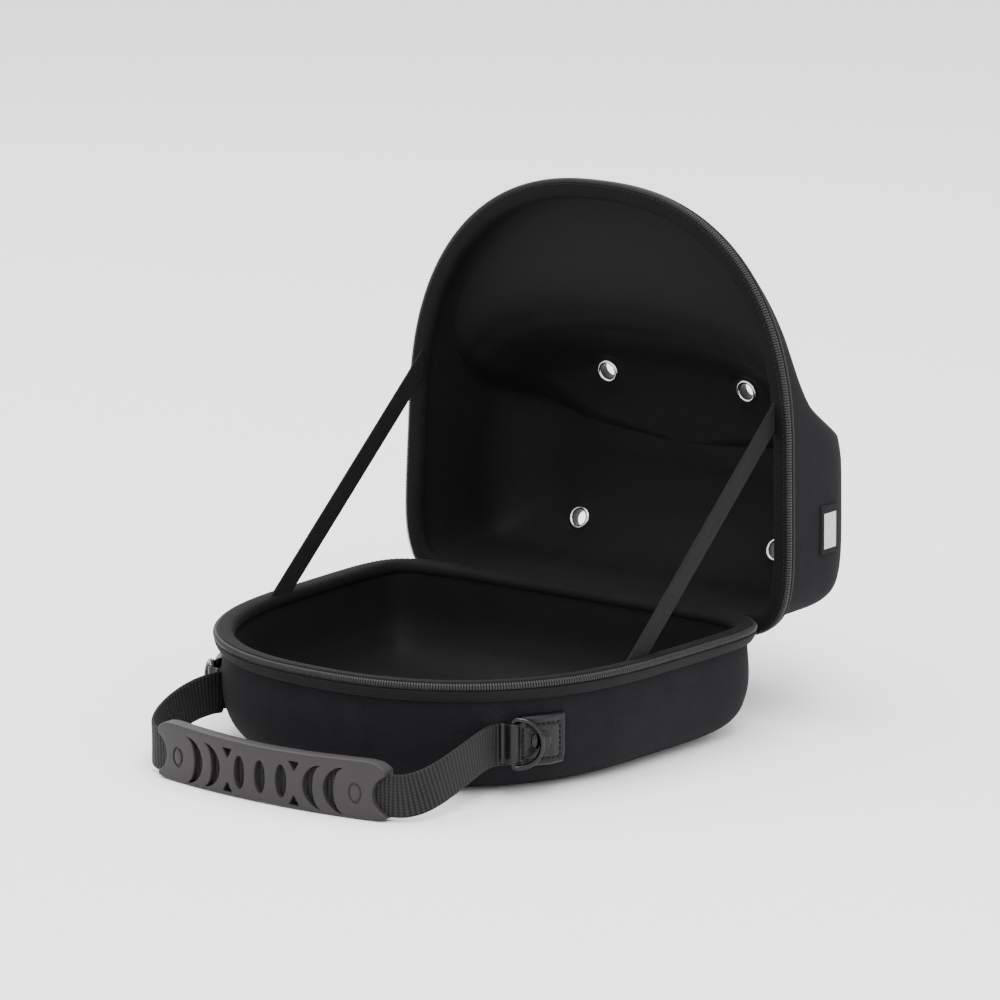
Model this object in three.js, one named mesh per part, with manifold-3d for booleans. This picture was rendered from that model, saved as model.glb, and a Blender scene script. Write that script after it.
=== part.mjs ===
// A hard-shelled carrier case for one baseball cap, standing open on its tray.
// Millimetres, +Z up. The front of the case faces -Y, its hinge is at +Y, and the origin is the
// middle of the tray's flat underside. The lid is drawn closed, then turned back about the hinge.

import * as THREE from 'three';
import { mergeVertices } from 'three/addons/utils/BufferGeometryUtils.js';
import Module from 'manifold-3d';

const wasm = await Module();
wasm.setup();

// Driving dimensions of the outline that the tray and the lid share
const CASE_WIDTH = 250;
const FRONT_REACH = 130;      // from the widest line forward to the round front
const REAR_REACH = 103;       // from the widest line back to the flat hinge side
const FRONT_EXPONENT = 2.35;  // 2 is an ellipse, more is squarer
const REAR_EXPONENT = 7;
const REAR_FLARE = 0.00028;   // the sides open this much for each mm towards the hinge

// Driving dimensions of the two shells
const TRAY_HEIGHT = 60.5;
const WALL = 4.5;
const CROWN_DEPTH = 88.5;      // the lid's deepest point, from its rim
const CROWN_REACH = 62;       // from the widest line forward to the foot of the lid's crown
const OPEN_ANGLE = 91.3;      // the lid, from closed
const HINGE_DROP = 17.5;      // the open lid's edge sits this far below the tray's rim
const HINGE_GAP = 3.3;        // between the tray's rear edge and the open lid

// Driving dimensions of the rim
const FLANGE = 5;             // the zipper stands this far out past the shell's wall
const TEETH_HEIGHT = 4;
const TAPE_HEIGHT = 6.4;
const BINDING_WIDTH = 6.7;
const BINDING_DEPTH = 6.6;
const HINGE_WIDTH = 160;      // the flat stretch without a zipper

// Driving dimensions of the straps, patches and rings
const STAY_WIDTH = 12;
const STAY_THICK = 1.2;
const STAY_SEAT = 8.6;        // in from the rim's edge, on top of the binding
const STAY_LIFT = 0.35;       // its cut ends stand this far off the rim's top
const STAY_FOOT_Y = -10;      // on the tray, from the widest line
const STAY_HEAD_REACH = 121;  // on the lid, from its hinge edge
const PATCH_Y = -75;          // the patch's middle, from the widest line
const PATCH_HEIGHT = 27;
const PATCH_Z = 28.7;
const LEATHER = 1.5;
const RING_WIRE = 2.7;
const RING_HEIGHT = 27.5;     // over the wire, along the bar
const RING_DEPTH = 17.5;      // over the wire, from bar to bow
const RING_REST_ANGLE = 15;   // the ring leans on the rivet
const RIVET_RADIUS = 5.5;
const RIVET_RISE = 1.5;
const EYELET_HOLE = 8.6;
const EYELET_WIDTH = 13.4;
const EYELET_LEVEL = 0.5;     // turns their axes towards the lid's own depth

// Driving dimensions of the handle
const WEBBING_WIDTH = 22;
const WEBBING_THICK = 2;
const GRIP_LENGTH = 146;
const GRIP_HEIGHT = 30;
const GRIP_THICK = 8.2;
const GRIP_AHEAD = 28.5;       // from the tray's front edge to the grip's ends
const GRIP_BOW = 8;
const GRIP_WEBBING_Z = 13.2;  // middle of the webbing inside the grip

// Driving dimensions of the sewn label and the zipper's slider
const LABEL_WIDTH = 17;
const LABEL_HEIGHT = 26;
const LABEL_THICK = 0.9;
const LABEL_DEPTH = 46;       // its middle, from the lid's rim
const LABEL_REACH = 56;       // its middle, from the hinge edge
const SLIDER_WIDTH = 8.4;
const SLIDER_DROP = 30;       // to the end of its pull
const SLIDER_Y = 66;

const CLEARANCE = 0.3;
const STATIONS = 52;

const HALF_WIDTH = CASE_WIDTH / 2;
const WIDEST_Y = (FRONT_REACH - REAR_REACH) / 2;
const SHELL_INSET = FLANGE + CLEARANCE;
const BINDING_INSET = SHELL_INSET - 0.7;
const EDGE_DROP = TEETH_HEIGHT;            // from the rim's top to the shell's raw edge
const HINGE_Y = REAR_REACH + HINGE_GAP;
const HINGE_Z = TRAY_HEIGHT - HINGE_DROP;

const finishes = {
  shell: { color: 0x232328, roughness: 0.9, metalness: 0 },
  tape: { color: 0x37332f, roughness: 0.85, metalness: 0 },
  teeth: { color: 0x2a2827, roughness: 0.45, metalness: 0 },
  binding: { color: 0x242223, roughness: 0.85, metalness: 0 },
  strap: { color: 0x2b2b2a, roughness: 0.85, metalness: 0 },
  leather: { color: 0x1d1b1e, roughness: 0.4, metalness: 0 },
  rubber: { color: 0x4a4648, roughness: 0.7, metalness: 0 },
  nickel: { color: 0xc9c9cc, roughness: 0.2, metalness: 1 },
  gunmetal: { color: 0x55545a, roughness: 0.25, metalness: 1 },
  label: { color: 0xd9d9dc, roughness: 0.8, metalness: 0 },
};

function finish(name) {
  return new THREE.MeshStandardMaterial(finishes[name]);
}

function mix(a, b, share) {
  return a + (b - a) * share;
}

function smooth(edge0, edge1, value) {
  const t = Math.min(1, Math.max(0, (value - edge0) / (edge1 - edge0)));
  return t * t * (3 - 2 * t);
}

// The value of a table's column at a place between its rows
function lookUp(table, key, at, column) {
  const rising = [...table].sort((a, b) => a[key] - b[key]);
  const next = rising.findIndex((row) => row[key] >= at);
  if (next < 1) return (next === 0 ? rising[0] : rising[rising.length - 1])[column];
  const low = rising[next - 1];
  const high = rising[next];
  return mix(low[column], high[column], (at - low[key]) / (high[key] - low[key]));
}

// Solids from rings of points: each ring joins the next, and the ends are closed
function solidFromRings(rings, { loop = false, section = null } = {}) {
  const size = rings[0].length;
  const positions = rings.flat().flatMap((p) => [p.x, p.y, p.z]);
  const faces = [];
  const count = loop ? rings.length : rings.length - 1;
  for (let i = 0; i < count; i += 1) {
    const here = i * size;
    const next = ((i + 1) % rings.length) * size;
    for (let j = 0; j < size; j += 1) {
      const k = (j + 1) % size;
      faces.push([here + j, here + k, next + k], [here + j, next + k, next + j]);
    }
  }
  if (!loop) {
    const flat = section.map(([u, v]) => new THREE.Vector2(u, v));
    const last = (rings.length - 1) * size;
    for (const [a, b, c] of THREE.ShapeUtils.triangulateShape(flat, [])) {
      faces.push([a, b, c], [last + c, last + b, last + a]);
    }
  }
  return facingOut(positions, consistent(faces));
}

// Every pair of neighbouring faces runs its shared edge in opposite directions
function consistent(faces) {
  const edges = new Map();
  faces.forEach((face, index) => {
    face.forEach((a, corner) => {
      const b = face[(corner + 1) % 3];
      const key = a < b ? `${a}_${b}` : `${b}_${a}`;
      if (!edges.has(key)) edges.set(key, []);
      edges.get(key).push({ index, forward: a < b });
    });
  });
  const done = new Array(faces.length).fill(false);
  const turned = new Array(faces.length).fill(false);
  const queue = [0];
  done[0] = true;
  while (queue.length) {
    const index = queue.pop();
    const face = faces[index];
    face.forEach((a, corner) => {
      const b = face[(corner + 1) % 3];
      const sides = edges.get(a < b ? `${a}_${b}` : `${b}_${a}`);
      const mine = sides.find((side) => side.index === index);
      const other = sides.find((side) => side.index !== index);
      if (!other || done[other.index]) return;
      done[other.index] = true;
      turned[other.index] = turned[index] !== (mine.forward === other.forward);
      queue.push(other.index);
    });
  }
  return faces.map((face, index) => (turned[index] ? [face[2], face[1], face[0]] : face));
}

function facingOut(positions, faces) {
  const at = (i) => new THREE.Vector3().fromArray(positions, i * 3);
  let volume = 0;
  for (const [a, b, c] of faces) volume += at(a).dot(at(b).clone().cross(at(c)));
  const index = (volume > 0 ? faces : faces.map(([a, b, c]) => [c, b, a])).flat();
  const geometry = new THREE.BufferGeometry();
  geometry.setAttribute('position', new THREE.Float32BufferAttribute(positions, 3));
  geometry.setIndex(index);
  geometry.computeVertexNormals();
  return geometry;
}

// Booleans
function toManifold(geometry) {
  const bare = geometry.clone();
  bare.deleteAttribute('normal');
  bare.deleteAttribute('uv');
  const merged = mergeVertices(bare, 1e-4);
  return new wasm.Manifold(new wasm.Mesh({
    numProp: 3,
    vertProperties: new Float32Array(merged.attributes.position.array),
    triVerts: new Uint32Array(merged.index.array),
  }));
}

function toGeometry(solid) {
  const mesh = solid.getMesh();
  const geometry = new THREE.BufferGeometry();
  geometry.setAttribute('position', new THREE.Float32BufferAttribute(mesh.vertProperties, 3));
  geometry.setIndex(Array.from(mesh.triVerts));
  geometry.computeVertexNormals();
  return geometry;
}

function cutAway(geometry, cutters) {
  let solid = toManifold(geometry);
  for (const cutter of cutters) solid = solid.subtract(toManifold(cutter));
  return toGeometry(solid);
}

function mirrored(geometry) {
  const copy = geometry.clone();
  copy.scale(-1, 1, 1);
  const index = Array.from(copy.index.array);
  for (let i = 0; i < index.length; i += 3) {
    [index[i], index[i + 2]] = [index[i + 2], index[i]];
  }
  copy.setIndex(index);
  copy.computeVertexNormals();
  return copy;
}

// The shared outline, from the middle of the hinge side, by the right side and the front, and back
function quarter(reach, exponent, steps) {
  return Array.from({ length: steps + 1 }, (_, i) => {
    const turn = (i / steps) * (Math.PI / 2);
    return [
      HALF_WIDTH * Math.sin(turn) ** (2 / exponent),
      reach * Math.cos(turn) ** (2 / exponent),
    ];
  });
}

function flared(x, y) {
  return new THREE.Vector2(x * (1 + REAR_FLARE * y), y);
}

function fineOutline() {
  const steps = 240;
  const rear = quarter(REAR_REACH, REAR_EXPONENT, steps).map(([x, y]) => flared(x, y));
  const front = quarter(FRONT_REACH, FRONT_EXPONENT, steps).map(([x, y]) => flared(x, -y));
  const right = [...rear, ...front.reverse().slice(1)];
  const left = right.slice(1, -1).reverse().map((p) => new THREE.Vector2(-p.x, p.y));
  return [...right, ...left];
}

const FINE = fineOutline();

// Points spread by length and by turning, so that the corners get more of them
function spread(points, count, closed) {
  const cornerPull = 60;
  const line = closed ? [...points, points[0]] : points;
  const along = [0];
  for (let i = 1; i < line.length; i += 1) {
    const before = line[i - 1].clone().sub(line[Math.max(0, i - 2)]);
    const step = line[i].clone().sub(line[i - 1]);
    const turn = before.length() > 0 ? Math.abs(before.angleTo(step)) : 0;
    along.push(along[i - 1] + step.length() + cornerPull * turn);
  }
  const total = along[along.length - 1];
  const parts = closed ? count : count - 1;
  return Array.from({ length: count }, (_, k) => {
    const at = (total * k) / parts;
    let i = along.findIndex((a) => a >= at);
    if (i < 1) i = k === 0 ? 1 : along.length - 1;
    const share = (at - along[i - 1]) / (along[i] - along[i - 1]);
    return line[i - 1].clone().lerp(line[i], Math.min(1, Math.max(0, share)));
  });
}

// The outward direction at each point of an outline
function outwards(points, closed) {
  return points.map((p, i) => {
    const last = points.length - 1;
    const before = closed ? points[(i + last) % (last + 1)] : points[Math.max(0, i - 1)];
    const after = closed ? points[(i + 1) % (last + 1)] : points[Math.min(last, i + 1)];
    const tangent = after.clone().sub(before).normalize();
    const out = new THREE.Vector2(tangent.y, -tangent.x);
    return out.dot(p) < 0 ? out.negate() : out;
  });
}

function rimFrames(points, closed) {
  const out = outwards(points, closed);
  return points.map((p, i) => ({ x: p.x, y: p.y, nx: out[i].x, ny: out[i].y }));
}

const ROUND = spread(FINE, STATIONS, true);
const ROUND_FRAMES = rimFrames(ROUND, true);
const ZIPPED_FRAMES = ROUND_FRAMES.filter((f) => !(f.y > 0 && Math.abs(f.x) < HINGE_WIDTH / 2));

function halfWidthAt(y) {
  const reach = y > 0 ? REAR_REACH : FRONT_REACH;
  const exponent = y > 0 ? REAR_EXPONENT : FRONT_EXPONENT;
  const share = 1 - Math.abs(y / reach) ** exponent;
  return HALF_WIDTH * Math.max(0, share) ** (1 / exponent) * (1 + REAR_FLARE * y);
}

// A ring of the shell: the outline, drawn in towards the crown's shorter front, then inset
const STRAIGHT_INSET = 12;
function shellRing(share, inset) {
  const shorter = mix(1, CROWN_REACH / FRONT_REACH, share);
  const line = ROUND.map((p) => new THREE.Vector2(p.x, p.y < 0 ? p.y * shorter : p.y));
  const out = outwards(line, true);
  const near = Math.min(inset, STRAIGHT_INSET);
  const rest = inset - near;
  const front = FRONT_REACH * shorter;
  const middle = (REAR_REACH - front) / 2;
  const half = (REAR_REACH + front) / 2;
  return line.map((p, i) => {
    const q = p.clone().addScaledVector(out[i], -near);
    const narrow = 1 - rest / (HALF_WIDTH - near);
    const short = 1 - rest / (half - near);
    return new THREE.Vector2(q.x * narrow, middle + (q.y - middle) * short);
  });
}

// The wall between an outer skin and the same skin moved in by the wall's thickness
function shellSolid(outer, upward) {
  const rows = outer.length;
  const count = outer[0].length;
  const inner = outer.map((ring, r) => ring.map((p, i) => {
    const across = ring[(i + 1) % count].clone().sub(ring[(i + count - 1) % count]);
    const down = outer[Math.min(rows - 1, r + 1)][i].clone().sub(outer[Math.max(0, r - 1)][i]);
    const normal = down.cross(across).normalize();
    if (normal.z * upward < 0) normal.negate();
    if (Math.abs(normal.z) < 0.35 && normal.x * p.x + normal.y * (p.y) < 0) normal.negate();
    const q = p.clone().addScaledVector(normal, -WALL);
    if (r === 0) q.z = p.z;
    return q;
  }));
  const poleOf = (ring) => ring.reduce((sum, p) => sum.add(p), new THREE.Vector3())
    .divideScalar(count);
  const rings = [...outer.slice().reverse(), ...inner];
  const positions = rings.flat().flatMap((p) => [p.x, p.y, p.z]);
  const faces = [];
  for (let r = 0; r < rings.length - 1; r += 1) {
    for (let i = 0; i < count; i += 1) {
      const k = (i + 1) % count;
      const a = r * count;
      const b = (r + 1) * count;
      faces.push([a + i, a + k, b + k], [a + i, b + k, b + i]);
    }
  }
  for (const [ring, start] of [[outer[rows - 1], 0], [inner[rows - 1], (rings.length - 1) * count]]) {
    const pole = positions.length / 3;
    const middle = poleOf(ring);
    positions.push(middle.x, middle.y, middle.z);
    for (let i = 0; i < count; i += 1) faces.push([pole, start + i, start + ((i + 1) % count)]);
  }
  return { geometry: facingOut(positions, consistent(faces)), inner };
}

// Tray: from the raw edge down the wall and round onto the flat bottom
const TRAY_PROFILE = [
  { height: TRAY_HEIGHT - EDGE_DROP, inset: SHELL_INSET },
  { height: 0.35 * TRAY_HEIGHT, inset: SHELL_INSET + 0.3 },
  { height: 0.225 * TRAY_HEIGHT, inset: SHELL_INSET + 3.2 },
  { height: 0.122 * TRAY_HEIGHT, inset: SHELL_INSET + 8 },
  { height: 0.049 * TRAY_HEIGHT, inset: SHELL_INSET + 14.2 },
  { height: 0.01 * TRAY_HEIGHT, inset: SHELL_INSET + 20.5 },
  { height: 0, inset: SHELL_INSET + 26 },
];
const TRAY_KNEE = TRAY_PROFILE[1].height;   // the wall is straight above here

function trayWallInset(height) {
  return lookUp(TRAY_PROFILE, 'height', height, 'inset');
}

function baseShell() {
  const outer = TRAY_PROFILE.map((row) => shellRing(0, row.inset)
    .map((p) => new THREE.Vector3(p.x, p.y, row.height)));
  return shellSolid(outer, -1).geometry;
}

// Lid: depths are shares of the crown's depth, apart from the raw edge
// brow is how far the front has drawn in from the rim's front to the crown's foot
const LID_PROFILE = [
  { brow: 0, front: EDGE_DROP / CROWN_DEPTH, side: EDGE_DROP / CROWN_DEPTH, inset: 0 },
  { brow: 0, front: 0.147, side: 0.158, inset: 0.3 },
  { brow: 0.13, front: 0.226, side: 0.294, inset: 0.6 },
  { brow: 0.42, front: 0.282, side: 0.43, inset: 1 },
  { brow: 0.69, front: 0.316, side: 0.542, inset: 1.4 },
  { brow: 0.87, front: 0.362, side: 0.622, inset: 2.3 },
  { brow: 0.96, front: 0.418, side: 0.697, inset: 4.2 },
  { brow: 1, front: 0.469, side: 0.77, inset: 7.9 },
  { brow: 1, front: 0.572, side: 0.836, inset: 12.9 },
  { brow: 1, front: 0.7, side: 0.893, inset: 19.1 },
  { brow: 1, front: 0.81, side: 0.938, inset: 26.2 },
  { brow: 1, front: 0.875, side: 0.972, inset: 34 },
  { brow: 1, front: 0.92, side: 0.994, inset: 45 },
  { brow: 1, front: 0.955, side: 1, inset: 60 },
];

function lidSkin() {
  return LID_PROFILE.map((row) => shellRing(row.brow, SHELL_INSET + row.inset).map((p, i) => {
    const frontness = smooth(18, -60, ROUND[i].y);
    const depth = CROWN_DEPTH * mix(row.side, row.front, frontness);
    return new THREE.Vector3(p.x, p.y, depth);
  }));
}

const LID_SKIN = lidSkin();

// The lid's outer skin above a place in its plan: the point and the outward direction
function lidSkinAt(x, y) {
  const flat = (p) => new THREE.Vector2(p.x, p.y);
  const at = new THREE.Vector2(x, y);
  for (let r = 4; r < LID_SKIN.length - 1; r += 1) {
    for (let i = 0; i < STATIONS; i += 1) {
      const k = (i + 1) % STATIONS;
      const corners = [LID_SKIN[r][i], LID_SKIN[r][k], LID_SKIN[r + 1][k], LID_SKIN[r + 1][i]];
      for (const [a, b, c] of [[0, 1, 2], [0, 2, 3]]) {
        const tri = [corners[a], corners[b], corners[c]];
        const [p, q, s] = tri.map(flat);
        const area = q.clone().sub(p).cross(s.clone().sub(p));
        const u = q.clone().sub(at).cross(s.clone().sub(at)) / area;
        const v = s.clone().sub(at).cross(p.clone().sub(at)) / area;
        const w = 1 - u - v;
        if (u < -1e-6 || v < -1e-6 || w < -1e-6) continue;
        const point = new THREE.Vector3().addScaledVector(tri[0], u)
          .addScaledVector(tri[1], v).addScaledVector(tri[2], w);
        const normal = tri[1].clone().sub(tri[0]).cross(tri[2].clone().sub(tri[0])).normalize();
        return { point, normal: normal.z < 0 ? normal.negate() : normal };
      }
    }
  }
  return null;
}

// Vent eyelets: columns are the place across and the reach from the hinge edge
const EYELETS = [
  { name: 'front', across: 0.368, reach: 117 },
  { name: 'rear', across: 0.524, reach: 30.5 },
];

function eyeletSeats() {
  const seats = [];
  for (const row of EYELETS) {
    for (const [side, sign] of [['right', 1], ['left', -1]]) {
      const skin = lidSkinAt(sign * row.across * HALF_WIDTH, REAR_REACH - row.reach);
      skin.normal.add(new THREE.Vector3(0, 0, EYELET_LEVEL)).normalize();
      seats.push({ name: `eyelet_${row.name}_${side}`, ...skin });
    }
  }
  return seats;
}

function turnedTo(geometry, seat) {
  const turn = new THREE.Quaternion().setFromUnitVectors(new THREE.Vector3(0, 0, 1), seat.normal);
  geometry.applyQuaternion(turn);
  const middle = seat.point.clone().addScaledVector(seat.normal, -WALL / 2);
  geometry.translate(middle.x, middle.y, middle.z);
  return geometry;
}

const EYELET_BARREL = 0.8;
const EYELET_OUTER_SEAT = 1.1;  // room under the flanges on the rounded crown
const EYELET_INNER_SEAT = 2.2;

function lidShell(seats) {
  const holes = seats.map((seat) => {
    const radius = EYELET_HOLE / 2 + EYELET_BARREL + CLEARANCE + 0.15;
    const bore = new THREE.CylinderGeometry(radius, radius, 4 * WALL, 18);
    bore.rotateX(Math.PI / 2);
    return turnedTo(bore, seat);
  });
  return cutAway(shellSolid(LID_SKIN, 1).geometry, holes);
}

function eyelet() {
  const inner = EYELET_HOLE / 2;
  const barrel = inner + EYELET_BARREL;
  const outer = EYELET_WIDTH / 2;
  const flange = (seat) => {
    const under = WALL / 2 + seat;
    return [[inner, under + 0.8], [(inner + outer) / 2, under + 1.2], [outer, under + 0.4],
      [barrel, under]];
  };
  const back = flange(EYELET_INNER_SEAT).reverse().map(([r, z]) => [r, -z]);
  const rows = [...flange(EYELET_OUTER_SEAT), ...back];
  const profile = [...rows, rows[0]].reverse().map(([r, z]) => new THREE.Vector2(r, z));
  return new THREE.LatheGeometry(profile, 12);
}

// Pieces that run along the rim: a section of [outward, up] pairs measured from the rim's top
function alongRim(section, frames, loop, top, up) {
  const rings = frames.map((f) => section.map(([u, w]) => new THREE.Vector3(
    f.x + f.nx * u, f.y + f.ny * u, top + up * w)));
  return solidFromRings(rings, { loop, section });
}

const TEETH_SECTION = [
  [-BINDING_INSET + CLEARANCE, -TEETH_HEIGHT], [-BINDING_INSET + CLEARANCE, -0.8],
  [-0.6 * FLANGE, 0], [-0.2 * FLANGE, -0.6], [0, -2.4], [-0.1, -TEETH_HEIGHT],
];

const TAPE_TOP = -TEETH_HEIGHT - CLEARANCE;
const TAPE_SECTION = [
  [-FLANGE, TAPE_TOP], [-0.2, TAPE_TOP], [-0.2 * FLANGE, TAPE_TOP - 0.28 * TAPE_HEIGHT],
  [-0.34 * FLANGE, TAPE_TOP - 0.6 * TAPE_HEIGHT], [-0.62 * FLANGE, TAPE_TOP - 0.88 * TAPE_HEIGHT],
  [-FLANGE, TAPE_TOP - TAPE_HEIGHT],
];

const BINDING_INNER = BINDING_INSET + BINDING_WIDTH;
const BINDING_SECTION = [
  [-BINDING_INSET, -EDGE_DROP + CLEARANCE], [-BINDING_INSET, -1.2],
  [-BINDING_INSET - 0.36 * BINDING_WIDTH, 0], [-BINDING_INSET - 0.75 * BINDING_WIDTH, -0.7],
  [-BINDING_INNER, -0.5 * BINDING_DEPTH], [-BINDING_INNER + 0.4, -BINDING_DEPTH],
  [-SHELL_INSET - WALL - CLEARANCE - 0.4, -EDGE_DROP + CLEARANCE],
];

// A place on the open lid, from its closed plan and depth, in the case's own frame
function lidPlace(x, y, depth) {
  const turn = THREE.MathUtils.degToRad(OPEN_ANGLE);
  const reach = y - REAR_REACH;
  return new THREE.Vector3(
    x,
    HINGE_Y + reach * Math.cos(turn) + depth * Math.sin(turn),
    HINGE_Z - reach * Math.sin(turn) + depth * Math.cos(turn),
  );
}

// Hinge: one strip of cloth from the tray's rear wall, under the open lid's edge, onto its wall
function hingeGusset() {
  const thick = 1.2;
  const lie = CLEARANCE + thick / 2;
  const trayWall = REAR_REACH - SHELL_INSET + lie + 0.4;
  const under = (depth, inset) => {
    const p = lidPlace(0, REAR_REACH - inset + lie + 0.1, depth);
    return [p.y, p.z];
  };
  const lidWall = (depth) => under(
    depth, SHELL_INSET + lookUp(LID_PROFILE, 'side', depth / CROWN_DEPTH, 'inset'));
  const [brinkY, brinkZ] = under(1, BINDING_INSET);
  const centre = [
    [trayWall, TRAY_HEIGHT - EDGE_DROP - 1],
    [trayWall, brinkZ + 3.4],
    [trayWall + 0.9, brinkZ + 0.9],
    [trayWall + 3.2, brinkZ - 0.3],
    [brinkY - 1.5, brinkZ],
    under(BINDING_DEPTH + 1, BINDING_INSET),
    lidWall(15),
    lidWall(24),
  ].map(([y, z]) => new THREE.Vector2(y - REAR_REACH, z));
  const sides = outwards(centre, false).map((n) => (n.y > 0 ? n.negate() : n));
  const lower = centre.map((p, i) => p.clone().addScaledVector(sides[i], thick / 2));
  const upper = centre.map((p, i) => p.clone().addScaledVector(sides[i], -thick / 2));
  const section = [...lower, ...upper.reverse()].map((p) => [p.x, p.y]);
  const half = HINGE_WIDTH / 2 - 3;
  const steps = 8;
  const rings = Array.from({ length: steps + 1 }, (_, i) => {
    const x = mix(-half, half, i / steps);
    const edge = REAR_REACH * (1 - Math.abs(x / HALF_WIDTH) ** REAR_EXPONENT)
      ** (1 / REAR_EXPONENT);
    return section.map(([y, z]) => new THREE.Vector3(x, edge + y, z));
  });
  return solidFromRings(rings, { section });
}

// Flat tape between two walls: a strip of a given width along a path of its middle
function strip(path, widthways, width, thick) {
  const section = [[-1, -1], [1, -1], [1, 1], [-1, 1]];
  const rings = path.map((p, i) => {
    const before = path[Math.max(0, i - 1)];
    const after = path[Math.min(path.length - 1, i + 1)];
    const along = after.clone().sub(before).normalize();
    const wide = widthways.clone().addScaledVector(along, -widthways.dot(along)).normalize();
    const out = along.clone().cross(wide);
    return section.map(([u, v]) => p.clone().addScaledVector(wide, (u * width) / 2)
      .addScaledVector(out, (v * thick) / 2));
  });
  return solidFromRings(rings, { section });
}

// Stay strap: a flat length from rim to rim, its ends cut along the bindings they are sewn to
function stayStrap() {
  const seatX = (y) => halfWidthAt(y) - STAY_SEAT;
  const headY = REAR_REACH - STAY_HEAD_REACH;
  const foot = new THREE.Vector3(seatX(STAY_FOOT_Y), STAY_FOOT_Y, TRAY_HEIGHT);
  const head = lidPlace(seatX(headY), headY, 0);
  const along = head.clone().sub(foot).normalize();
  const wide = new THREE.Vector3(0, -along.z, along.y).normalize();
  const thick = along.clone().cross(wide).normalize();
  const lidInward = lidPlace(0, 0, -1).sub(lidPlace(0, 0, 0));
  const cutAt = (end, normal, across) => {
    const edge = end.clone().addScaledVector(wide, across);
    const short = STAY_LIFT - edge.clone().sub(end).dot(normal);
    return edge.addScaledVector(along, short / along.dot(normal));
  };
  const section = [[-1, -1], [1, -1], [1, 1], [-1, 1]];
  const rings = [0, 0.25, 0.5, 0.75, 1].map((share) => section.map(([u, v]) => {
    const across = (u * STAY_WIDTH) / 2;
    const low = cutAt(foot, new THREE.Vector3(0, 0, 1), across);
    const high = cutAt(head, lidInward, across);
    return low.lerp(high, share).addScaledVector(thick, (v * STAY_THICK) / 2);
  }));
  return solidFromRings(rings, { section });
}

// The wall beside the ring patch: a place along the outline, a lift off the wall and a height
const SIDE_LINE = FINE.slice(0, FINE.length / 2 + 1);
const SIDE_FRAMES = rimFrames(SIDE_LINE, false);
const SIDE_ALONG = SIDE_LINE.map(() => 0);
for (let i = 1; i < SIDE_LINE.length; i += 1) {
  SIDE_ALONG[i] = SIDE_ALONG[i - 1] + SIDE_LINE[i].distanceTo(SIDE_LINE[i - 1]);
}
const PATCH_ALONG = SIDE_ALONG[SIDE_LINE.findIndex((p, i) => i > 240 && p.y <= PATCH_Y)];

function wallFrame(along) {
  let i = SIDE_ALONG.findIndex((a) => a >= along);
  if (i < 1) i = 1;
  const share = (along - SIDE_ALONG[i - 1]) / (SIDE_ALONG[i] - SIDE_ALONG[i - 1]);
  const a = SIDE_FRAMES[i - 1];
  const b = SIDE_FRAMES[i];
  const n = new THREE.Vector2(mix(a.nx, b.nx, share), mix(a.ny, b.ny, share)).normalize();
  return { x: mix(a.x, b.x, share), y: mix(a.y, b.y, share), nx: n.x, ny: n.y };
}

function wallPlace(along, lift, height) {
  const f = wallFrame(along);
  const u = lift - trayWallInset(height);
  return new THREE.Vector3(f.x + f.nx * u, f.y + f.ny * u, height);
}

// Ring patch: columns run forward from the patch's rear edge
const BOX_LENGTH = 26;
const BAR_AT = BOX_LENGTH + 4.3;
const WEBBING_SEAT = CLEARANCE + 0.2;   // it stands upright on the sloping wall
const WEBBING_LIFT = WEBBING_SEAT + WEBBING_THICK;
const FLAT_LIFT = WEBBING_LIFT + CLEARANCE + LEATHER;
const BAR_LIFT = FLAT_LIFT + 1.1;       // the leaning arms clear the patch from here
const BAR_ROOM = RING_WIRE / 2 + CLEARANCE;
const HUMP_LIFT = BAR_LIFT + BAR_ROOM + LEATHER - 0.2;
const LOOP_HALF = RING_HEIGHT / 2 - RING_WIRE - 1;
const PATCH_PROFILE = [
  { at: 0, lift: CLEARANCE + LEATHER, half: PATCH_HEIGHT / 2 - 0.6 },
  { at: 1, lift: CLEARANCE + LEATHER, half: PATCH_HEIGHT / 2 },
  { at: 5, lift: CLEARANCE + LEATHER + 0.3, half: PATCH_HEIGHT / 2 },
  { at: 8, lift: FLAT_LIFT, half: PATCH_HEIGHT / 2 },
  { at: 16.5, lift: FLAT_LIFT, half: PATCH_HEIGHT / 2 },
  { at: BOX_LENGTH - 1, lift: FLAT_LIFT, half: PATCH_HEIGHT / 2 },
  { at: BOX_LENGTH, lift: FLAT_LIFT, half: PATCH_HEIGHT / 2 - 0.8 },
  { at: BOX_LENGTH + 0.4, lift: FLAT_LIFT + 0.2, half: LOOP_HALF },
  { at: BAR_AT - 2, lift: HUMP_LIFT - 0.8, half: LOOP_HALF },
  { at: BAR_AT, lift: HUMP_LIFT, half: LOOP_HALF },
  { at: BAR_AT + 2, lift: HUMP_LIFT - 0.8, half: LOOP_HALF },
  { at: BAR_AT + 3.7, lift: FLAT_LIFT, half: LOOP_HALF },
  { at: BAR_AT + 6.4, lift: FLAT_LIFT - 0.3, half: LOOP_HALF },
];
const PATCH_START = PATCH_ALONG - BOX_LENGTH / 2;

function barSeat() {
  const middle = wallPlace(PATCH_START + BAR_AT, BAR_LIFT, PATCH_Z);
  const frame = wallFrame(PATCH_START + BAR_AT);
  return { middle, frame };
}

function webbingEnd(grow) {
  const reach = PATCH_PROFILE[PATCH_PROFILE.length - 1].at + 10;
  const places = Array.from({ length: 9 }, (_, i) => PATCH_START + mix(5 - grow, reach, i / 8));
  const path = places.map((at) => wallPlace(at, WEBBING_LIFT / 2, PATCH_Z - 1));
  return strip(path, new THREE.Vector3(0, 0, 1), WEBBING_WIDTH + 2 * grow, WEBBING_LIFT + 2 * grow);
}

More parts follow.
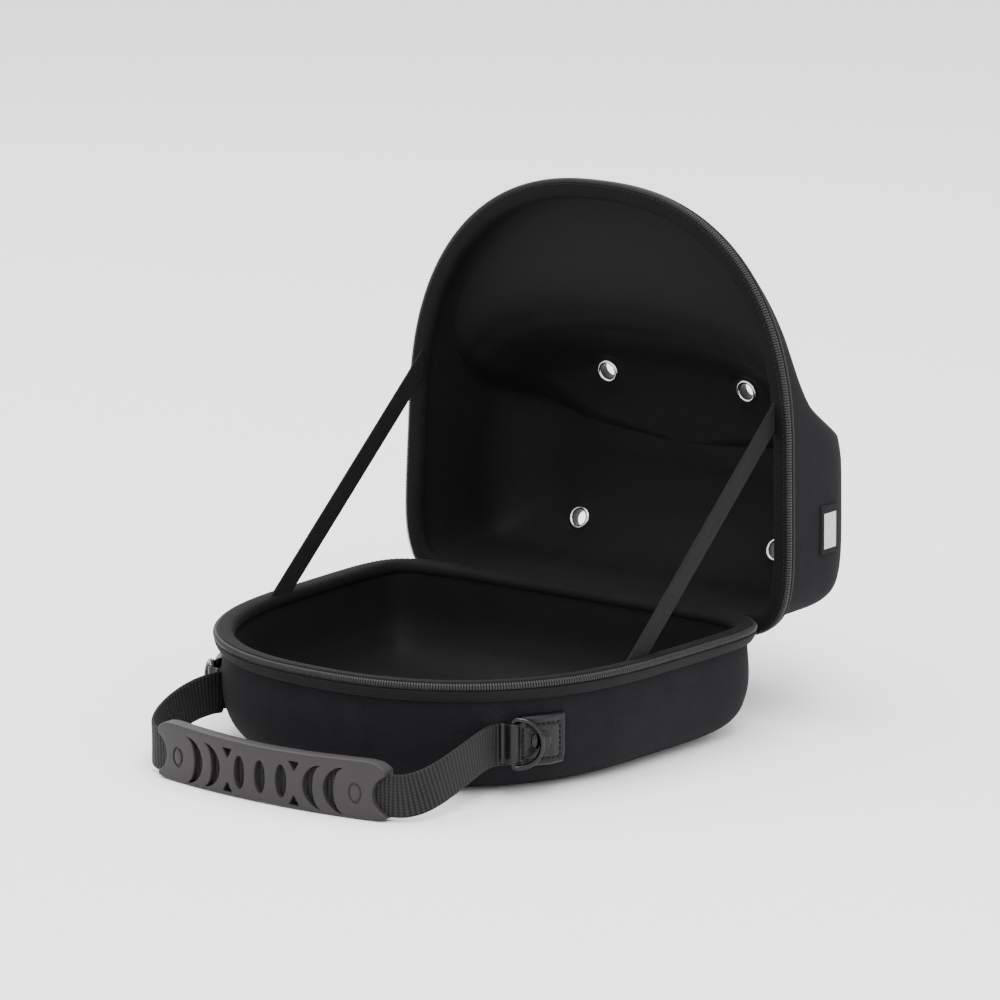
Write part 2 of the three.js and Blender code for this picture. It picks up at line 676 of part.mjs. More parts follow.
function ringPatch() {
  const rings = PATCH_PROFILE.map((row) => {
    const along = PATCH_START + row.at;
    const heights = [PATCH_Z - row.half, TRAY_KNEE, PATCH_Z + row.half];
    const inner = heights.map((z) => wallPlace(along, CLEARANCE, z));
    const outer = heights.map((z) => wallPlace(along, row.lift, z));
    return [...inner, ...outer.reverse()];
  });
  const section = [[0, -1], [0, -0.5], [0, 1], [1, 1], [1, -0.5], [1, -1]];
  const seat = barSeat();
  const tunnel = new THREE.CylinderGeometry(BAR_ROOM, BAR_ROOM, 2 * PATCH_HEIGHT, 12);
  tunnel.rotateX(Math.PI / 2);
  tunnel.translate(seat.middle.x, seat.middle.y, seat.middle.z);
  return cutAway(solidFromRings(rings, { section }), [webbingEnd(CLEARANCE), tunnel]);
}

function rivetHead() {
  const rise = RIVET_RISE;
  const profile = [[0, 0], [RIVET_RADIUS, 0], [RIVET_RADIUS * 0.96, 0.45 * rise],
    [RIVET_RADIUS * 0.72, 0.85 * rise], [RIVET_RADIUS * 0.35, rise], [0, rise]]
    .map(([r, z]) => new THREE.Vector2(r, z));
  const head = new THREE.LatheGeometry(profile, 16);
  const along = PATCH_START + 15;
  const frame = wallFrame(along);
  const place = wallPlace(along, FLAT_LIFT + CLEARANCE + 0.2, PATCH_Z);
  head.rotateX(Math.PI / 2);
  const towards = new THREE.Vector3(frame.nx, frame.ny, 0);
  head.applyQuaternion(new THREE.Quaternion().setFromUnitVectors(new THREE.Vector3(0, 0, 1), towards));
  head.translate(place.x, place.y, place.z);
  return head;
}

// D-ring: a straight bar and a round bow in one wire, drawn in XZ with the bar on the Z axis
function ringWire() {
  const half = (RING_HEIGHT - RING_WIRE) / 2;
  const bow = RING_DEPTH - RING_WIRE;
  const corner = 2.2;
  const flat = bow - half > corner ? bow - half : corner;
  const path = new THREE.CurvePath();
  const v = (x, z) => new THREE.Vector3(x, 0, z);
  path.add(new THREE.LineCurve3(v(0, -half + corner), v(0, half - corner)));
  path.add(new THREE.QuadraticBezierCurve3(v(0, half - corner), v(0, half), v(flat, half)));
  path.add(new THREE.CubicBezierCurve3(v(flat, half), v(bow * 0.62, half),
    v(bow, half * 0.6), v(bow, 0)));
  path.add(new THREE.CubicBezierCurve3(v(bow, 0), v(bow, -half * 0.6),
    v(bow * 0.62, -half), v(flat, -half)));
  path.add(new THREE.QuadraticBezierCurve3(v(flat, -half), v(0, -half), v(0, -half + corner)));
  const count = 26;
  const points = path.getSpacedPoints(count).slice(0, count);
  const sides = 6;
  const rings = points.map((p, i) => {
    const before = points[(i + count - 1) % count];
    const after = points[(i + 1) % count];
    const along = after.clone().sub(before).normalize();
    const out = new THREE.Vector3(-along.z, 0, along.x);
    return Array.from({ length: sides }, (_, k) => {
      const turn = (k / sides) * 2 * Math.PI;
      return p.clone().addScaledVector(out, (Math.cos(turn) * RING_WIRE) / 2)
        .add(new THREE.Vector3(0, (Math.sin(turn) * RING_WIRE) / 2, 0));
    });
  });
  return solidFromRings(rings, { loop: true });
}

// Handle: the webbing's path from one patch, through the grip, to the other
const GRIP_Y = -FRONT_REACH - GRIP_AHEAD;
function gripLine(x) {
  return GRIP_Y - GRIP_BOW * (1 - (2 * x / GRIP_LENGTH) ** 2);
}

function handleWebbing() {
  const lift = WEBBING_SEAT + WEBBING_THICK / 2;
  const lastRow = PATCH_PROFILE[PATCH_PROFILE.length - 1].at;
  const places = [6, 15, 24, 31, lastRow].map((at) => PATCH_START + at);
  const onWall = places.map((at) => wallPlace(at, lift, PATCH_Z - 1));
  const leave = wallPlace(PATCH_START + lastRow + 3, lift + 0.6, PATCH_Z - 1.1);
  const gripEnd = new THREE.Vector3(GRIP_LENGTH / 2, gripLine(GRIP_LENGTH / 2), GRIP_WEBBING_Z);
  const away = leave.clone().add(new THREE.Vector3(6, -24, -3));
  const turnIn = gripEnd.clone().add(new THREE.Vector3(22, 4, 0));
  const free = new THREE.CubicBezierCurve3(leave, away, turnIn, gripEnd).getPoints(12);
  const steps = 8;
  const inGrip = Array.from({ length: steps }, (_, i) => {
    const x = mix(GRIP_LENGTH / 2, 0, (i + 1) / steps);
    return new THREE.Vector3(x, gripLine(x), GRIP_WEBBING_Z);
  });
  const right = [...onWall, ...free, ...inGrip];
  const left = right.slice(0, -1).reverse().map((p) => new THREE.Vector3(-p.x, p.y, p.z));
  return strip([...right, ...left], new THREE.Vector3(0, 0, 1), WEBBING_WIDTH, WEBBING_THICK);
}

// Grip: columns are the place along its half length and the half height there, as shares
const GRIP_PROFILE = [
  { along: -1, half: 0.8 }, { along: -0.94, half: 0.96 }, { along: -0.86, half: 1 },
  { along: -0.6, half: 0.98 }, { along: -0.4, half: 0.96 }, { along: -0.2, half: 0.95 },
  { along: 0, half: 0.94 },
];
// Pierced openings on one side of the middle, in mm from the middle and from the grip's axis
const GRIP_OVAL = { wide: 6.8, high: 17 };
const GRIP_OVAL_PITCH = 13.4;
const GRIP_TRIANGLE = { at: 21.4, wide: 6.4, high: 5.2, off: 6 };
const GRIP_CRESCENTS = [
  { tip: 38.5, belly: 11.4, hollow: 5, half: 10.6 },
  { tip: 51.3, belly: 12.6, hollow: 6.1, half: 11.2 },
];
const GRIP_NOTCH = 11;

function gripOpenings() {
  const shapes = [];
  for (const i of [-1, 0, 1]) {
    const oval = new THREE.Shape();
    oval.absellipse(i * GRIP_OVAL_PITCH, 0, GRIP_OVAL.wide / 2, GRIP_OVAL.high / 2, 0, 2 * Math.PI);
    shapes.push({ shape: oval, x: i * GRIP_OVAL_PITCH });
  }
  for (const side of [1, -1]) {
    for (const up of [1, -1]) {
      const { at, wide, high, off } = GRIP_TRIANGLE;
      const triangle = new THREE.Shape([
        new THREE.Vector2(side * at - wide / 2, up * (off + high)),
        new THREE.Vector2(side * at + wide / 2, up * (off + high)),
        new THREE.Vector2(side * at, up * off),
      ]);
      shapes.push({ shape: triangle, x: side * at });
    }
    for (const { tip, belly, hollow, half } of GRIP_CRESCENTS) {
      const crescent = new THREE.Shape();
      crescent.moveTo(side * tip, half);
      crescent.quadraticCurveTo(side * (tip - 2 * belly), 0, side * tip, -half);
      crescent.quadraticCurveTo(side * (tip - 2 * hollow), 0, side * tip, half);
      shapes.push({ shape: crescent, x: side * (tip - belly / 2) });
    }
  }
  return shapes;
}

function handleGrip() {
  const half = GRIP_LENGTH / 2;
  const rows = [...GRIP_PROFILE, ...GRIP_PROFILE.slice(0, -1).reverse()
    .map((row) => ({ along: -row.along, half: row.half }))];
  const middleZ = GRIP_HEIGHT / 2;
  const edge = 1.6;
  const outline = (height, thick) => [
    [-thick / 2 + edge, -height], [thick / 2 - edge, -height], [thick / 2, -height + edge],
    [thick / 2, height - edge], [thick / 2 - edge, height], [-thick / 2 + edge, height],
    [-thick / 2, height - edge], [-thick / 2, -height + edge],
  ];
  const rings = rows.map((row) => {
    const x = row.along * half;
    const height = row.half * middleZ;
    const base = middleZ - height;
    return outline(height, GRIP_THICK).map(([y, z]) => new THREE.Vector3(
      x, gripLine(x) + y, middleZ + z - base * 0.5));
  });
  const body = solidFromRings(rings, { section: outline(middleZ, GRIP_THICK) });
  const slotPath = Array.from({ length: 17 }, (_, i) => {
    const x = mix(-half - 6, half + 6, i / 16);
    return new THREE.Vector3(x, gripLine(x), GRIP_WEBBING_Z);
  });
  const slot = strip(slotPath, new THREE.Vector3(0, 0, 1),
    WEBBING_WIDTH + 2 * CLEARANCE, WEBBING_THICK + 2 * CLEARANCE + 0.4);
  const openings = gripOpenings().map(({ shape, x }) => {
    const cutter = new THREE.ExtrudeGeometry(shape, { depth: 30, bevelEnabled: false,
      curveSegments: 5 });
    cutter.rotateX(Math.PI / 2);
    cutter.translate(0, gripLine(x), GRIP_WEBBING_Z);
    return cutter;
  });
  const notches = [1, -1].map((side) => {
    const notch = new THREE.CylinderGeometry(GRIP_NOTCH, GRIP_NOTCH, 60, 24);
    notch.translate(side * (half + 0.3 * GRIP_NOTCH), GRIP_Y, GRIP_WEBBING_Z);
    return notch;
  });
  return cutAway(body, [slot, ...openings, ...notches]);
}

// Label: a bare woven patch that follows the lid's side wall
function labelPatch() {
  const depths = [LABEL_DEPTH - LABEL_WIDTH / 2,
    ...LID_PROFILE.map((row) => row.side * CROWN_DEPTH)
      .filter((depth) => Math.abs(depth - LABEL_DEPTH) < LABEL_WIDTH / 2 - 1),
    LABEL_DEPTH + LABEL_WIDTH / 2];
  const skinX = (y, depth) => halfWidthAt(y) - SHELL_INSET
    - lookUp(LID_PROFILE, 'side', depth / CROWN_DEPTH, 'inset');
  const steps = 4;
  const rings = Array.from({ length: steps + 1 }, (_, i) => {
    const y = REAR_REACH - LABEL_REACH + LABEL_HEIGHT * (i / steps - 0.5);
    const inner = depths.map((d) => new THREE.Vector3(skinX(y, d) + CLEARANCE + 0.2, y, d));
    const outer = depths.map((d) => new THREE.Vector3(
      skinX(y, d) + CLEARANCE + 0.2 + LABEL_THICK, y, d + 0.12));
    return [...inner, ...outer.reverse()];
  });
  const section = [...depths.map((d) => [0, d]), ...depths.slice().reverse().map((d) => [1, d])];
  return solidFromRings(rings, { section });
}

// Zipper slider with its pull, parked outside the left run of the tray's zipper
function zipperSlider() {
  const wide = SLIDER_WIDTH / 2;
  const pull = SLIDER_WIDTH * 0.34;
  const shape = new THREE.Shape();
  shape.moveTo(-wide, 0);
  shape.lineTo(wide, 0);
  shape.lineTo(wide, -SLIDER_WIDTH);
  shape.lineTo(pull, -1.3 * SLIDER_WIDTH);
  shape.lineTo(pull, -SLIDER_DROP);
  shape.quadraticCurveTo(0, -SLIDER_DROP - pull, -pull, -SLIDER_DROP);
  shape.lineTo(-pull, -1.3 * SLIDER_WIDTH);
  shape.lineTo(-wide, -SLIDER_WIDTH);
  const slider = new THREE.ExtrudeGeometry(shape, { depth: 1.8, bevelEnabled: false,
    curveSegments: 6 });
  const seatX = -halfWidthAt(SLIDER_Y) - CLEARANCE;
  const basis = new THREE.Matrix4().makeBasis(
    new THREE.Vector3(0, -1, 0), new THREE.Vector3(0, 0, 1), new THREE.Vector3(-1, 0, 0));
  slider.applyMatrix4(basis);
  slider.translate(seatX, SLIDER_Y, TRAY_HEIGHT - 1.5);
  return slider;
}

// Assembly
const carrierCase = new THREE.Group();
carrierCase.position.y = WIDEST_Y;

function place(name, geometry, finishName, parent = carrierCase) {
  const mesh = new THREE.Mesh(geometry, finish(finishName));
  mesh.name = name;
  parent.add(mesh);
  return mesh;
}

place('base_shell', baseShell(), 'shell');
place('base_zipper_tape', alongRim(TAPE_SECTION, ZIPPED_FRAMES, false, TRAY_HEIGHT, 1), 'tape');
place('base_zipper_teeth', alongRim(TEETH_SECTION, ZIPPED_FRAMES, false, TRAY_HEIGHT, 1), 'teeth');
place('base_binding', alongRim(BINDING_SECTION, ROUND_FRAMES, true, TRAY_HEIGHT, 1), 'binding');

const lid = new THREE.Group();
lid.position.set(0, HINGE_Y, HINGE_Z);
lid.rotation.x = -THREE.MathUtils.degToRad(OPEN_ANGLE);
const lidPlan = new THREE.Group();
lidPlan.position.y = -REAR_REACH;
lid.add(lidPlan);
carrierCase.add(lid);

const seats = eyeletSeats();
place('lid_shell', lidShell(seats), 'shell', lidPlan);
place('lid_zipper_tape', alongRim(TAPE_SECTION, ZIPPED_FRAMES, false, 0, -1), 'tape', lidPlan);
place('lid_zipper_teeth', alongRim(TEETH_SECTION, ZIPPED_FRAMES, false, 0, -1), 'teeth', lidPlan);
place('lid_binding', alongRim(BINDING_SECTION, ROUND_FRAMES, true, 0, -1), 'binding', lidPlan);
for (const seat of seats) {
  const ring = eyelet();
  ring.rotateX(Math.PI / 2);
  place(seat.name, turnedTo(ring, seat), 'nickel', lidPlan);
}
place('label_patch', labelPatch(), 'label', lidPlan);

place('zipper_slider', zipperSlider(), 'gunmetal');
place('hinge_gusset', hingeGusset(), 'binding');
const rightStay = stayStrap();
place('stay_strap_right', rightStay, 'strap');
place('stay_strap_left', mirrored(rightStay), 'strap');

const rightPatch = ringPatch();
const rightRivet = mergeVertices(rivetHead(), 1e-4);
const seat = barSeat();
for (const [side, sign] of [['right', 1], ['left', -1]]) {
  place(`ring_patch_${side}`, sign > 0 ? rightPatch : mirrored(rightPatch), 'leather');
  place(`patch_rivet_${side}`, sign > 0 ? rightRivet : mirrored(rightRivet), 'gunmetal');
  const wire = place(`d_ring_${side}`, ringWire(), 'gunmetal');
  wire.position.set(sign * seat.middle.x, seat.middle.y, seat.middle.z);
  const back = Math.atan2(seat.frame.nx, -seat.frame.ny);
  const lean = THREE.MathUtils.degToRad(RING_REST_ANGLE);
  wire.rotation.z = sign > 0 ? back - lean : Math.PI - back + lean;
}
place('handle_webbing', handleWebbing(), 'strap');
place('handle_grip', handleGrip(), 'rubber');

export default carrierCase;
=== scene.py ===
# %% [markdown]
# # A zip-round carrier case for one baseball cap
#
# The case stands open on its tray, and the lid leans back on two stay straps.
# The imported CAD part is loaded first. It fixes every size and place, so each
# piece made here stands on the same numbers and takes one CAD node's place.

# %% Load the frame
import math

import bmesh
import bpy
import numpy as np
from mathutils import Matrix, Vector


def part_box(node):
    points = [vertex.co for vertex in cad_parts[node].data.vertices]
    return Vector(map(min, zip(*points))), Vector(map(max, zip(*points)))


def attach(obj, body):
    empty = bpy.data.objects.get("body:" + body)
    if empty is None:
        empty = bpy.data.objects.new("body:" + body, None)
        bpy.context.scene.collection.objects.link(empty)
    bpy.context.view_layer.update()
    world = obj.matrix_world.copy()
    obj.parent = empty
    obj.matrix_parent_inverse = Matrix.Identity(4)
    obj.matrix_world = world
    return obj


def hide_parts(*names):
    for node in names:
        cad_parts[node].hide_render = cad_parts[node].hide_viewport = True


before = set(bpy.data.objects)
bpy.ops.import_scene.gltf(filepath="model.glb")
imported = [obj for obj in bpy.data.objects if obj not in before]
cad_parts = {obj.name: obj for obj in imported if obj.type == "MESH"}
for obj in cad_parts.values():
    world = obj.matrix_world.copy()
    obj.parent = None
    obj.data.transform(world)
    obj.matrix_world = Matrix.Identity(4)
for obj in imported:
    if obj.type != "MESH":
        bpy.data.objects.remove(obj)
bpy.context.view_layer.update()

# %% [markdown]
# ## The sizes that both shells share
#
# These are the part's own driving sizes, in millimetres. The plan is drawn
# about the case's widest line, which lies a little in front of the middle, so
# every point is moved by `WIDEST_Y` when it becomes a point in the frame.

# %% Sizes
HALF_WIDTH, FRONT_REACH, REAR_REACH = 125.0, 130.0, 103.0
FRONT_EXPONENT, REAR_EXPONENT, REAR_FLARE = 2.35, 7.0, 0.00028
WIDEST_Y = (FRONT_REACH - REAR_REACH) / 2
TRAY_HEIGHT, WALL, FLANGE = 60.5, 4.5, 5.0
CROWN_DEPTH, CROWN_REACH, OPEN_ANGLE = 88.5, 62.0, 91.3
HINGE_Y, HINGE_Z = REAR_REACH + 3.3, TRAY_HEIGHT - 17.5
SHELL_INSET, BINDING_INSET, EDGE_DROP = FLANGE + 0.3, FLANGE - 0.4, 4.0
BINDING_WIDTH, BINDING_DEPTH = 6.7, 6.6
BINDING_INNER = BINDING_INSET + BINDING_WIDTH
HINGE_WIDTH = 160.0
MM = 0.001


def metres(points):
    return (np.asarray(points, float) + (0, WIDEST_Y, 0)) * MM


print("plan:", 2 * HALF_WIDTH, "x", FRONT_REACH + REAR_REACH, "mm")

# %% [markdown]
# ## The outline
#
# The case is round in front, like the cap's bill, and nearly square at the
# hinge. Two superellipses give that shape. A place on it is told by `s`, the
# way along the line from the middle of the hinge side, by the right side.

# %% The outline and its outward directions
def mix(a, b, share):
    return a + (b - a) * share


def ease(low, high, value):
    t = np.clip((np.asarray(value, float) - low) / (high - low), 0, 1)
    return t * t * (3 - 2 * t)


def unit(vectors):
    return vectors / np.maximum(np.linalg.norm(vectors, axis=-1, keepdims=True), 1e-12)


def quarter(reach, exponent, steps=600):
    turn = np.linspace(0, np.pi / 2, steps + 1)
    across = HALF_WIDTH * np.sin(turn) ** (2 / exponent)
    return np.stack([across, reach * np.maximum(np.cos(turn), 0) ** (2 / exponent)], 1)


rear = quarter(REAR_REACH, REAR_EXPONENT)
front = quarter(FRONT_REACH, FRONT_EXPONENT) * (1, -1)
right = np.vstack([rear, front[::-1][1:]])
right[:, 0] *= 1 + REAR_FLARE * right[:, 1]
LINE = np.vstack([right, right[1:-1][::-1] * (-1, 1), right[:1]])
STEP = np.diff(LINE, axis=0)
S = np.concatenate([[0], np.cumsum(np.linalg.norm(STEP, axis=1))])
LENGTH = S[-1]


def outwards(line):
    """Directions away from a closed line that runs clockwise seen from above."""
    along = unit(np.roll(line, -1, 0) - np.roll(line, 1, 0))
    return np.stack([-along[:, 1], along[:, 0]], 1)


LINE_OUT = np.vstack([outwards(LINE[:-1]), outwards(LINE[:-1])[:1]])


def outline_at(s):
    s = np.mod(np.asarray(s, float), LENGTH)
    place = np.stack([np.interp(s, S, LINE[:, k]) for k in (0, 1)], -1)
    out = unit(np.stack([np.interp(s, S, LINE_OUT[:, k]) for k in (0, 1)], -1))
    return place, out


def stations(count, corner_pull=60.0):
    """Places along the outline, closer together where it turns."""
    heading = np.unwrap(np.arctan2(STEP[:, 1], STEP[:, 0]))
    turning = np.abs(np.diff(heading, prepend=heading[0]))
    reach = np.concatenate([[0], np.cumsum(np.linalg.norm(STEP, axis=1) + corner_pull * turning)])
    return np.interp(np.linspace(0, reach[-1], count + 1)[:-1], reach, S)


def half_width_at(y):
    y = np.asarray(y, float)
    reach = np.where(y > 0, REAR_REACH, FRONT_REACH)
    exponent = np.where(y > 0, REAR_EXPONENT, FRONT_EXPONENT)
    share = np.maximum(1 - np.abs(y / reach) ** exponent, 0)
    return HALF_WIDTH * share ** (1 / exponent) * (1 + REAR_FLARE * y)


ROUND_S = stations(192)
ROUND = outline_at(ROUND_S)[0]
print("outline length:", round(LENGTH, 1), "mm, stations:", len(ROUND))

# %% [markdown]
# ## Tools for skins, sweeps and small repeated things
#
# A moulded shell, a strap and a rolled edge are all a sheet that has been
# bent, so one helper makes a grid and lays it through rows of points. Its
# seams are welded afterwards. Each corner of a face also keeps its place on
# the cloth in millimetres, and the woven finishes follow that.

# %% Grid skins
def skin(bm, points, cloth=None):
    """A grid of faces through rows of points. cloth is each point's place on the cloth."""
    points = np.asarray(points, float)
    rows, columns = points.shape[:2]
    made = bmesh.ops.create_grid(bm, x_segments=columns - 1, y_segments=rows - 1, size=1.0)
    verts = made["verts"]
    assert len(verts) == rows * columns
    flat = np.array([v.co[:2] for v in verts])
    low, high = flat.min(0), flat.max(0)
    cell = np.rint((flat - low) / (high - low) * (columns - 1, rows - 1)).astype(int)
    places = metres(points)
    layer = bm.loops.layers.uv.verify()
    at = {}
    for v, (i, j) in zip(verts, cell):
        v.co = places[j, i]
        at[v] = (j, i)
    if cloth is not None:
        for face in {f for v in verts for f in v.link_faces}:
            for corner in face.loops:
                corner[layer].uv = cloth[at[corner.vert]]
    return verts


def weld(bm, reach=2e-6):
    bmesh.ops.remove_doubles(bm, verts=bm.verts[:], dist=reach)


def close_ends(bm):
    bmesh.ops.holes_fill(bm, edges=[e for e in bm.edges if e.is_boundary], sides=0)


def face_out(bm, inside=None):
    bmesh.ops.recalc_face_normals(bm, faces=bm.faces[:])
    if inside is not None:
        middle = Vector(metres(inside))
        lean = sum((f.calc_center_median() - middle).dot(f.normal) * f.calc_area() for f in bm.faces)
        if lean < 0:
            bmesh.ops.reverse_faces(bm, faces=bm.faces[:])


def fair(rings, spacing):
    """More rows between rows of points, on smooth curves through them."""
    rings = np.asarray(rings, float)
    chord = np.maximum(np.linalg.norm(np.diff(rings, axis=0), axis=-1), 1e-6)[..., None]
    slope = np.diff(rings, axis=0) / chord
    tangent = np.concatenate([slope[:1], slope[:1].repeat(len(rings) - 2, 0), slope[-1:]])
    tangent[1:-1] = (slope[:-1] * chord[1:] + slope[1:] * chord[:-1]) / (chord[:-1] + chord[1:])
    rows = [rings[0]]
    for r in range(len(rings) - 1):
        steps = max(1, math.ceil(float(chord[r].mean()) / spacing))
        for t in np.arange(1, steps + 1) / steps:
            rows.append(
                (2 * t**3 - 3 * t**2 + 1) * rings[r] + (3 * t**2 - 2 * t**3) * rings[r + 1]
                + chord[r] * ((t**3 - 2 * t**2 + t) * tangent[r] + (t**3 - t**2) * tangent[r + 1])
            )
    return np.array(rows)


def closed(points):
    """The same rows with their first point again at the end."""
    return np.concatenate([points, points[:, :1]], 1)


def rounded(section, times=2):
    """A closed section with its corners cut off again and again."""
    line = np.asarray(section, float)
    for _ in range(times):
        after = np.roll(line, -1, 0)
        line = np.stack([0.75 * line + 0.25 * after, 0.25 * line + 0.75 * after], 1).reshape(-1, 2)
    return line


def way_round(line):
    return np.concatenate([[0], np.cumsum(np.linalg.norm(np.diff(line, axis=0), axis=1))])


print("helpers ready")

# %% [markdown]
# Every piece ends in the same way: its mesh gets its finish, it rides on its
# CAD body, and the CAD node that it stands for is hidden. Stitches and the
# turns of the zipper's coil are copies of one small shape, joined in a single
# mesh from arrays of places and directions.

# %% Finished pieces
def settle(name, mesh, finishes, nodes, body="case", sharp=48):
    for finish in finishes:
        mesh.materials.append(finish)
    mesh.shade_smooth()
    mesh.set_sharp_from_angle(angle=math.radians(sharp))
    piece = bpy.data.objects.new(name, mesh)
    bpy.context.scene.collection.objects.link(piece)
    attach(piece, body)
    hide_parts(*nodes)
    print(f"{name}: {len(mesh.polygons)} faces")
    return piece


def piece_of(name, bm, finishes, nodes, body="case", sharp=48):
    mesh = bpy.data.meshes.new(name)
    bm.to_mesh(mesh)
    bm.free()
    return settle(name, mesh, finishes, nodes, body, sharp)


def sheet(name, points, cloth, finishes, slot, nodes, ends=True, inside=None, sharp=48):
    """One skin as a finished piece: welded, its ends closed and its faces turned outwards."""
    bm = bmesh.new()
    skin(bm, points, cloth)
    weld(bm)
    if ends:
        close_ends(bm)
    face_out(bm, inside)
    return piece_of(name, bm, finishes, nodes, sharp=sharp)


def template_of(bm):
    """The points and faces of a small shape, as arrays for copies()."""
    bm.verts.index_update()
    points = np.array([v.co[:] for v in bm.verts])
    faces = [[v.index for v in f.verts] for f in bm.faces]
    bm.free()
    return points, faces


def copies(name, template, places, axes, finishes, nodes):
    """Copies of a template. axes holds, for each one, where its x, y and z point, in mm."""
    points, faces = template
    spots = np.einsum("kij,vi->kvj", axes, points) + np.asarray(places)[:, None, :]
    mesh = bpy.data.meshes.new(name)
    jumps = len(points) * np.arange(len(spots))
    joined = [[jump + corner for corner in face] for jump in jumps.tolist() for face in faces]
    mesh.from_pydata(metres(spots.reshape(-1, 3)).tolist(), [], joined)
    return settle(name, mesh, finishes, nodes, sharp=60)


def bead_template():
    bm = bmesh.new()
    bmesh.ops.create_uvsphere(bm, u_segments=6, v_segments=5, radius=1.0)
    bmesh.ops.recalc_face_normals(bm, faces=bm.faces[:])
    return template_of(bm)


BEAD = bead_template()


def stitches(name, places, along, out, length, thick, slot, nodes):
    """A row of thread stitches: longish beads that lie along the seam."""
    along, out = unit(np.asarray(along, float)), unit(np.asarray(out, float))
    side = np.cross(out, along)
    axes = np.stack([side * thick, out * thick * 0.8, along * length / 2], 1)
    return copies(name, BEAD, places, axes, [THREAD], nodes)


print("bead template:", len(BEAD[1]), "faces")

# %% [markdown]
# ## Finishes
#
# Every finish is procedural. A relief pattern drives three things at once: a
# bump of a real depth, a mix of a darker and a lighter tone, and how rough
# the surface is. The tone mix is partly painted light and shade: threads are
# painted lighter on top and darker in the gaps, and a random blotch of real
# uneven tone is mixed in.

# %% Node helpers
def maths(tree, operation, a, b=None):
    node = tree.nodes.new("ShaderNodeMath")
    node.operation = operation
    for slot_index, value in enumerate((a, b)):
        if value is None:
            continue
        if isinstance(value, bpy.types.NodeSocket):
            tree.links.new(value, node.inputs[slot_index])
        else:
            node.inputs[slot_index].default_value = value
    return node.outputs[0]


def noise(tree, scale, detail=2.0, stretch=(1.0, 1.0, 1.0)):
    """Soft noise in object space. scale is in cells per metre."""
    place = tree.nodes.new("ShaderNodeTexCoord")
    mapping = tree.nodes.new("ShaderNodeMapping")
    mapping.inputs["Scale"].default_value = stretch
    node = tree.nodes.new("ShaderNodeTexNoise")
    node.inputs["Scale"].default_value = scale
    node.inputs["Detail"].default_value = detail
    tree.links.new(place.outputs["Object"], mapping.inputs["Vector"])
    tree.links.new(mapping.outputs[0], node.inputs["Vector"])
    return node.outputs[0]


def cells(tree, scale, feature="F1"):
    place = tree.nodes.new("ShaderNodeTexCoord")
    node = tree.nodes.new("ShaderNodeTexVoronoi")
    node.feature = feature
    node.inputs["Scale"].default_value = scale
    tree.links.new(place.outputs["Object"], node.inputs["Vector"])
    return node.outputs[0]


def cloth_place(tree):
    """Along and across the cloth, in mm."""
    uv = tree.nodes.new("ShaderNodeUVMap")
    split = tree.nodes.new("ShaderNodeSeparateXYZ")
    tree.links.new(uv.outputs[0], split.inputs[0])
    return split.outputs[0], split.outputs[1]


def shared(tree, one, other, share):
    """A share of one pattern and the rest of another."""
    parts = maths(tree, "MULTIPLY", one, share), maths(tree, "MULTIPLY", other, 1 - share)
    return maths(tree, "ADD", *parts)


def wave(tree, place, pitch):
    """A sine along a place in mm, from 0 to 1."""
    turned = maths(tree, "SINE", maths(tree, "MULTIPLY", place, 2 * math.pi / pitch))
    return maths(tree, "ADD", maths(tree, "MULTIPLY", turned, 0.5), 0.5)


def ranged(tree, value, low, high):
    node = tree.nodes.new("ShaderNodeMapRange")
    tree.links.new(value, node.inputs[0])
    node.inputs[3].default_value = low
    node.inputs[4].default_value = high
    return node.outputs[0]


def toned(tree, value, low, high):
    node = tree.nodes.new("ShaderNodeValToRGB")
    for element, colour, position in zip(node.color_ramp.elements, (low, high), (0.15, 0.85)):
        element.color = (*colour, 1.0)
        element.position = position
    tree.links.new(value, node.inputs[0])
    return node.outputs[0]


BLOTCH = 70.0


def finish(name, low, high, rough, relief, depth, share=0.5, **fixed):
    """A finish from two tones, a roughness range, a relief pattern and that relief's depth in mm."""
    material = bpy.data.materials.new(name)
    material.use_nodes = True
    tree = material.node_tree
    shader = tree.nodes["Principled BSDF"]
    for socket, value in fixed.items():
        shader.inputs[socket.replace("_", " ")].default_value = value
    height = relief(tree)
    # The relief's low places take the darker tone, a painted shade in the gaps, mixed with a random blotch
    # of real uneven tone
    relief_shade_and_blotch = shared(tree, height, noise(tree, BLOTCH, 3.0), share)
    tree.links.new(toned(tree, relief_shade_and_blotch, low, high), shader.inputs["Base Color"])
    tree.links.new(ranged(tree, relief_shade_and_blotch, *rough), shader.inputs["Roughness"])
    bump = tree.nodes.new("ShaderNodeBump")
    bump.inputs["Strength"].default_value = 1.0
    bump.inputs["Distance"].default_value = depth * MM
    tree.links.new(height, bump.inputs["Height"])
    tree.links.new(bump.outputs[0], shader.inputs["Normal"])
    return material


print("node helpers ready")

# %% [markdown]
# The moulded shells wear a fine, slightly hairy knit outside and a plainer
# black lining inside. Straps and bindings are woven, so their relief is the
# product of two waves, one along and one across the cloth. The leatherette has
# a pebbled grain, and the metals only faint scratches.

# %% The finishes
def knit_relief(tree):
    loops = maths(tree, "SUBTRACT", 0.9, cells(tree, 1150.0))
    return maths(tree, "MULTIPLY", loops, ranged(tree, noise(tree, 2600.0), 0.75, 1.1))


def lining_relief(tree):
    return shared(tree, noise(tree, 1500.0), noise(tree, 45.0), 0.6)


def weave_relief(along, across):
    def relief(tree):
        u, v = cloth_place(tree)
        a, b = wave(tree, u, along), wave(tree, v, across)
        over = maths(tree, "MULTIPLY", a, b)
        under = maths(tree, "MULTIPLY", maths(tree, "SUBTRACT", 1.0, a), maths(tree, "SUBTRACT", 1.0, b))
        return maths(tree, "ADD", over, under)
    return relief


def rib_relief(pitch):
    def relief(tree):
        u = cloth_place(tree)[0]
        return shared(tree, wave(tree, u, pitch), noise(tree, 1800.0), 0.75)
    return relief


